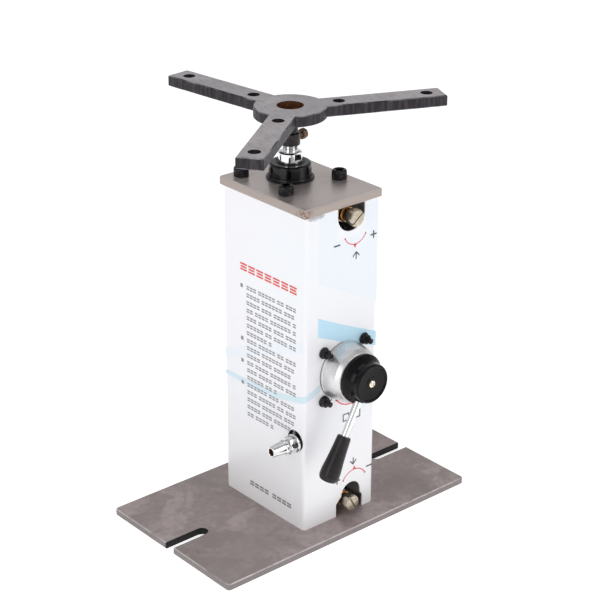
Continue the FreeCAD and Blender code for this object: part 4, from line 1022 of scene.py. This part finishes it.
def arc_through(first, middle_point, last, width, steps=20):
    """Ribbon of a width along the circle through three points."""
    a, b, c = Vector(first), Vector(middle_point), Vector(last)
    d = 2 * (a.x * (b.y - c.y) + b.x * (c.y - a.y) + c.x * (a.y - b.y))
    squares = [p.length_squared for p in (a, b, c)]
    centre = Vector(((squares[0] * (b.y - c.y) + squares[1] * (c.y - a.y)
                      + squares[2] * (a.y - b.y)) / d,
                     (squares[0] * (c.x - b.x) + squares[1] * (a.x - c.x)
                      + squares[2] * (b.x - a.x)) / d))
    radius = (a - centre).length
    start = math.atan2(a.y - centre.y, a.x - centre.x)
    sweep = math.atan2(c.y - centre.y, c.x - centre.x) - start
    while sweep > math.pi:
        sweep -= 2 * math.pi
    while sweep < -math.pi:
        sweep += 2 * math.pi
    inner, outer = [], []
    for i in range(steps + 1):
        angle = start + sweep * i / steps
        ray = Vector((math.cos(angle), math.sin(angle)))
        inner.append(tuple(centre + ray * (radius - width / 2)))
        outer.append(tuple(centre + ray * (radius + width / 2)))
    return ribbon(inner, outer)


def dot(u, v, radius, sides=12):
    return [[(u + radius * math.cos(2 * math.pi * i / sides),
              v + radius * math.sin(2 * math.pi * i / sides)) for i in range(sides)]]


def arrowhead(tip, toward, size):
    """Triangle with its tip at a point, facing along a unit vector."""
    u, v = tip
    du, dv = toward
    back = (u - du * size, v - dv * size)
    return [[(u, v), (back[0] - dv * size * 0.5, back[1] + du * size * 0.5),
             (back[0] + dv * size * 0.5, back[1] - du * size * 0.5)]]


def plus(u, v, size, stroke):
    arm = (size - stroke) / 2
    middle_of_arm = (size + stroke) / 4
    return minus(u, v, size, stroke) + [
        bar(u - stroke / 2, u + stroke / 2, v + way * middle_of_arm, arm) for way in (1, -1)]


def minus(u, v, size, stroke):
    return [bar(u - size / 2, u + size / 2, v, stroke)]


def chevron(u, v, size, way):
    """Open arrowhead with a stem, way +1 for up and -1 for down."""
    half = size / 2
    stroke = size * 0.16
    thick = stroke * 1.4
    tip = v + way * half
    knee = tip - way * half
    marks = []
    for side in (-1, 1):
        wing = u + side * half
        marks.append([(u, tip), (wing, knee), (wing, knee - way * thick), (u, tip - way * thick)])
    marks.append(bar(u - stroke / 2, u + stroke / 2, v - way * thick / 2, size - thick))
    return marks


def panel_around_window(top, bottom):
    """Ribbon between two edges, left open where the upper window cuts the face."""
    half = 19.5
    shapes = []
    for shape in ribbon(top, bottom):
        beside = min(abs(u - upper_port.x) for u, v in shape) > half
        ceiling = column_high.z - (2 if beside else 34)
        shapes.append([(u, ceiling if v > column_high.z - 30 else v) for u, v in shape])
    return shapes


def speed_marks(port, upright):
    """Arc, arrowhead and plain signs beside a speed adjuster."""
    red = []
    black = []
    if upright > 0:
        left, mid, right = (-8.5, -22.9), (5.4, -32.0), (19.8, -23.6)
        slow, fast, way = (-19.3, -27.7), (31.0, -27.7), (7.1, -44.6)
    else:
        left, mid, right = (-6.2, 26.1), (9.7, 35.1), (25.4, 25.6)
        fast, slow, way = (-15.0, 29.4), (31.5, 31.9), (8.0, 45.6)

    def at(offset):
        return port.x + offset[0], port.z + offset[1]
    red += arc_through(at(left), at(mid), at(right), 1.0)
    red += dot(*at(left), 1.0) + dot(*at(right), 1.0)
    tip = at((mid[0], mid[1] - upright * 4.6))
    red += arrowhead(tip, (0, -upright), 4.6)
    black += minus(*at(slow), 8.5, 1.8)
    black += plus(*at(fast), 8.5, 1.8)
    black += chevron(*at(way), 9.0, upright)
    return red, black


def front_print():
    red, black = speed_marks(upper_port, 1)
    more_red, more_black = speed_marks(lower_port, -1)
    red += more_red
    black += more_black

    def at(u, v):
        return valve.x + u, valve.z + v
    red += arc_through(at(-9.2, -32.8), at(0.4, -41.0), at(12.5, -43.2), 1.3)
    red += dot(*at(-9.2, -32.8), 1.7)
    red += arrowhead(at(17.0, -43.6), (1, 0.05), 4.2)
    black += chevron(*at(-20.5, -30.5), 8.5, -1)
    half = 4.6
    stroke = 1.3
    rim = half - stroke / 2
    for stop_u, stop_v in (at(4.5, -58.0), at(20.5, -59.0)):
        for way in (-1, 1):
            black.append(bar(stop_u - half, stop_u + half, stop_v + way * rim, stroke))
            black.append(bar(stop_u + way * rim - stroke / 2, stop_u + way * rim + stroke / 2,
                             stop_v, 2 * (half - stroke)))
    printed("front_red_marks", "red_ink", red, front_point, 2)
    printed("front_black_marks", "black_ink", black, front_point, 2)

    left = column_low.x + 18.0
    right = column_high.x - 0.6
    top, bottom = [], []
    steps = 24
    for i in range(steps + 1):
        part = i / steps
        u = left + (right - left) * part
        fall = 38 * (1.12 * part - 0.12 * part * part)
        top.append((u, 253.3 - fall))
        bottom.append((u, 232.2 - fall * 0.90))
    printed("front_blue_band", "blue_ink", ribbon(top, bottom), front_point, 1)

    panel = []
    for i in range(steps + 1):
        part = i / steps
        panel.append((left + (right - left) * part, 291 - 38 * part - 4 * part ** 2))
    top = [(u, column_high.z - 22) for u, v in panel]
    printed("front_pale_panel", "pale_ink", panel_around_window(top, panel), front_point)


def wrapped_point(u, v, lift):
    """Around the left front bend: u runs along the left face, the bend and the front."""
    bend = 4.5
    start = -face - bend
    arc = bend * math.pi / 2
    if u <= start:
        return side_point(u, v, lift)
    if u >= start + arc:
        return front_point(column_low.x + bend + u - start - arc, v, lift)
    angle = (u - start) / bend
    return Vector((column_low.x + bend - (bend + lift) * math.cos(angle),
                   -start - (bend + lift) * math.sin(angle), v))


def side_print():
    back = -column_high.y + 1.5
    length = 150
    steps = 240
    path = []
    for i in range(steps + 1):
        part = i / steps
        path.append((back + length * part, 150.4 + 22.5 * part ** 3, part))
    top = [(u, v + 2.8 + 1.2 * part) for u, v, part in path]
    bottom = [(u, v - 2.8 - 1.2 * part) for u, v, part in path]
    printed("wrapped_blue_line", "soft_blue_ink", ribbon(top, bottom), wrapped_point, 1)

    length = 127
    path = [(back + length * i / steps, 173 + 51.5 * i / steps) for i in range(steps + 1)]
    top = [(u, v + 6.2) for u, v in path]
    bottom = [(u, v - 6.2) for u, v in path]
    printed("side_pale_band", "pale_ink", ribbon(top, bottom), side_point)

    title = []
    for block in range(7):
        start = -32.5 + 13.3 * block
        for level, inset in ((287.2, 0.0), (284.0, 0.8), (280.8, 0.0)):
            title.append(bar(start + inset, start + 11.0 - inset, level, 1.9))
    printed("side_title_bars", "red_ink", title, side_point, 2)
    printed("side_text_bars", "grey_ink", text_bars(), side_point, 2)


def text_bars():
    """Plain bars, word by word, where the operating notes stand."""
    bars = []
    pitch = 8.75
    first = 262.0
    wide = 4.4
    starts = (0, 7, 10, 13)
    words = (3, 5, 2, 4, 6, 3, 4)
    short = {6: 0.55, 9: 0.93, 12: 0.62, 17: 0.60}
    for line in range(18):
        v = first - pitch * line
        if line in starts:
            bars.append(bar(-32.5, -28.5, v, 4.2))
        u = -22.5
        stop = u + 80.5 * short.get(line, 1.0)
        word = (line * 3) % len(words)
        while u < stop - 3:
            for _ in range(words[word % len(words)]):
                if u + wide > stop:
                    break
                bars += [bar(u, u + wide, v + 1.35, 1.5), bar(u, u + wide, v - 1.35, 1.5)]
                u += 5.6
            u += 2.6
            word += 1
    u = -19.0
    for _ in range(2):
        for _ in range(4):
            bars += [bar(u, u + 6.6, 30.8, 2.0), bar(u, u + 6.6, 27.6, 2.0)]
            u += 8.2
        u += 5.0
    return bars


def torn_film():
    """Scraps of torn protective film caught under the top plate."""
    work = bmesh.new()
    top = column_high.z - 0.3
    profile = (1.6, 3.4, 2.6, 4.4, 3.0, 1.8, 3.6, 2.4, 1.2)
    places = [column_low.x + 4 + 2.6 * i for i in range(len(profile))]
    for row, lift in enumerate((0.25, 1.1)):
        upper = []
        lower = []
        for i, (x, drop) in enumerate(zip(places, profile)):
            wiggle = 0.35 * math.sin(2.3 * i + row)
            held = Vector((x, face - 0.2, top))
            hanging = Vector((x + wiggle, face - lift - 0.3 * wiggle, top - (drop + row) * 0.8))
            upper.append(work.verts.new(held * MM))
            lower.append(work.verts.new(hanging * MM))
        for i in range(len(places) - 1):
            work.faces.new((upper[i], upper[i + 1], lower[i + 1], lower[i]))
    bmesh.ops.solidify(work, geom=work.faces[:], thickness=0.12 * MM)
    mesh = finished(work, "torn_film")
    add_piece("torn_film", mesh, "torn_paper", "jack_frame", slot="white_sheet")


# ------------------------------------------------------------ the scene
def dress_nodes():
    """Every CAD node takes the material of its slot in the record."""
    slots = {part["node"]: part["material_slot"] for part in frame["record"]["subparts"]}
    for name, node in frame["nodes"].items():
        node.data.materials.clear()
        node.data.materials.append(looks[slots[name]])


make_camera()
make_light()
make_floor()
looks = make_looks()
dress_nodes()
top_screws()
gland_parts()
lift_rod()
head_collar()
set_bolt()
valve_dome()
valve_knob()
lever_parts()
knob_screw()
valve_fasteners()
quick_plug()
speed_adjuster("upper", 37)
speed_adjuster("lower", -62)
front_print()
side_print()
torn_film()
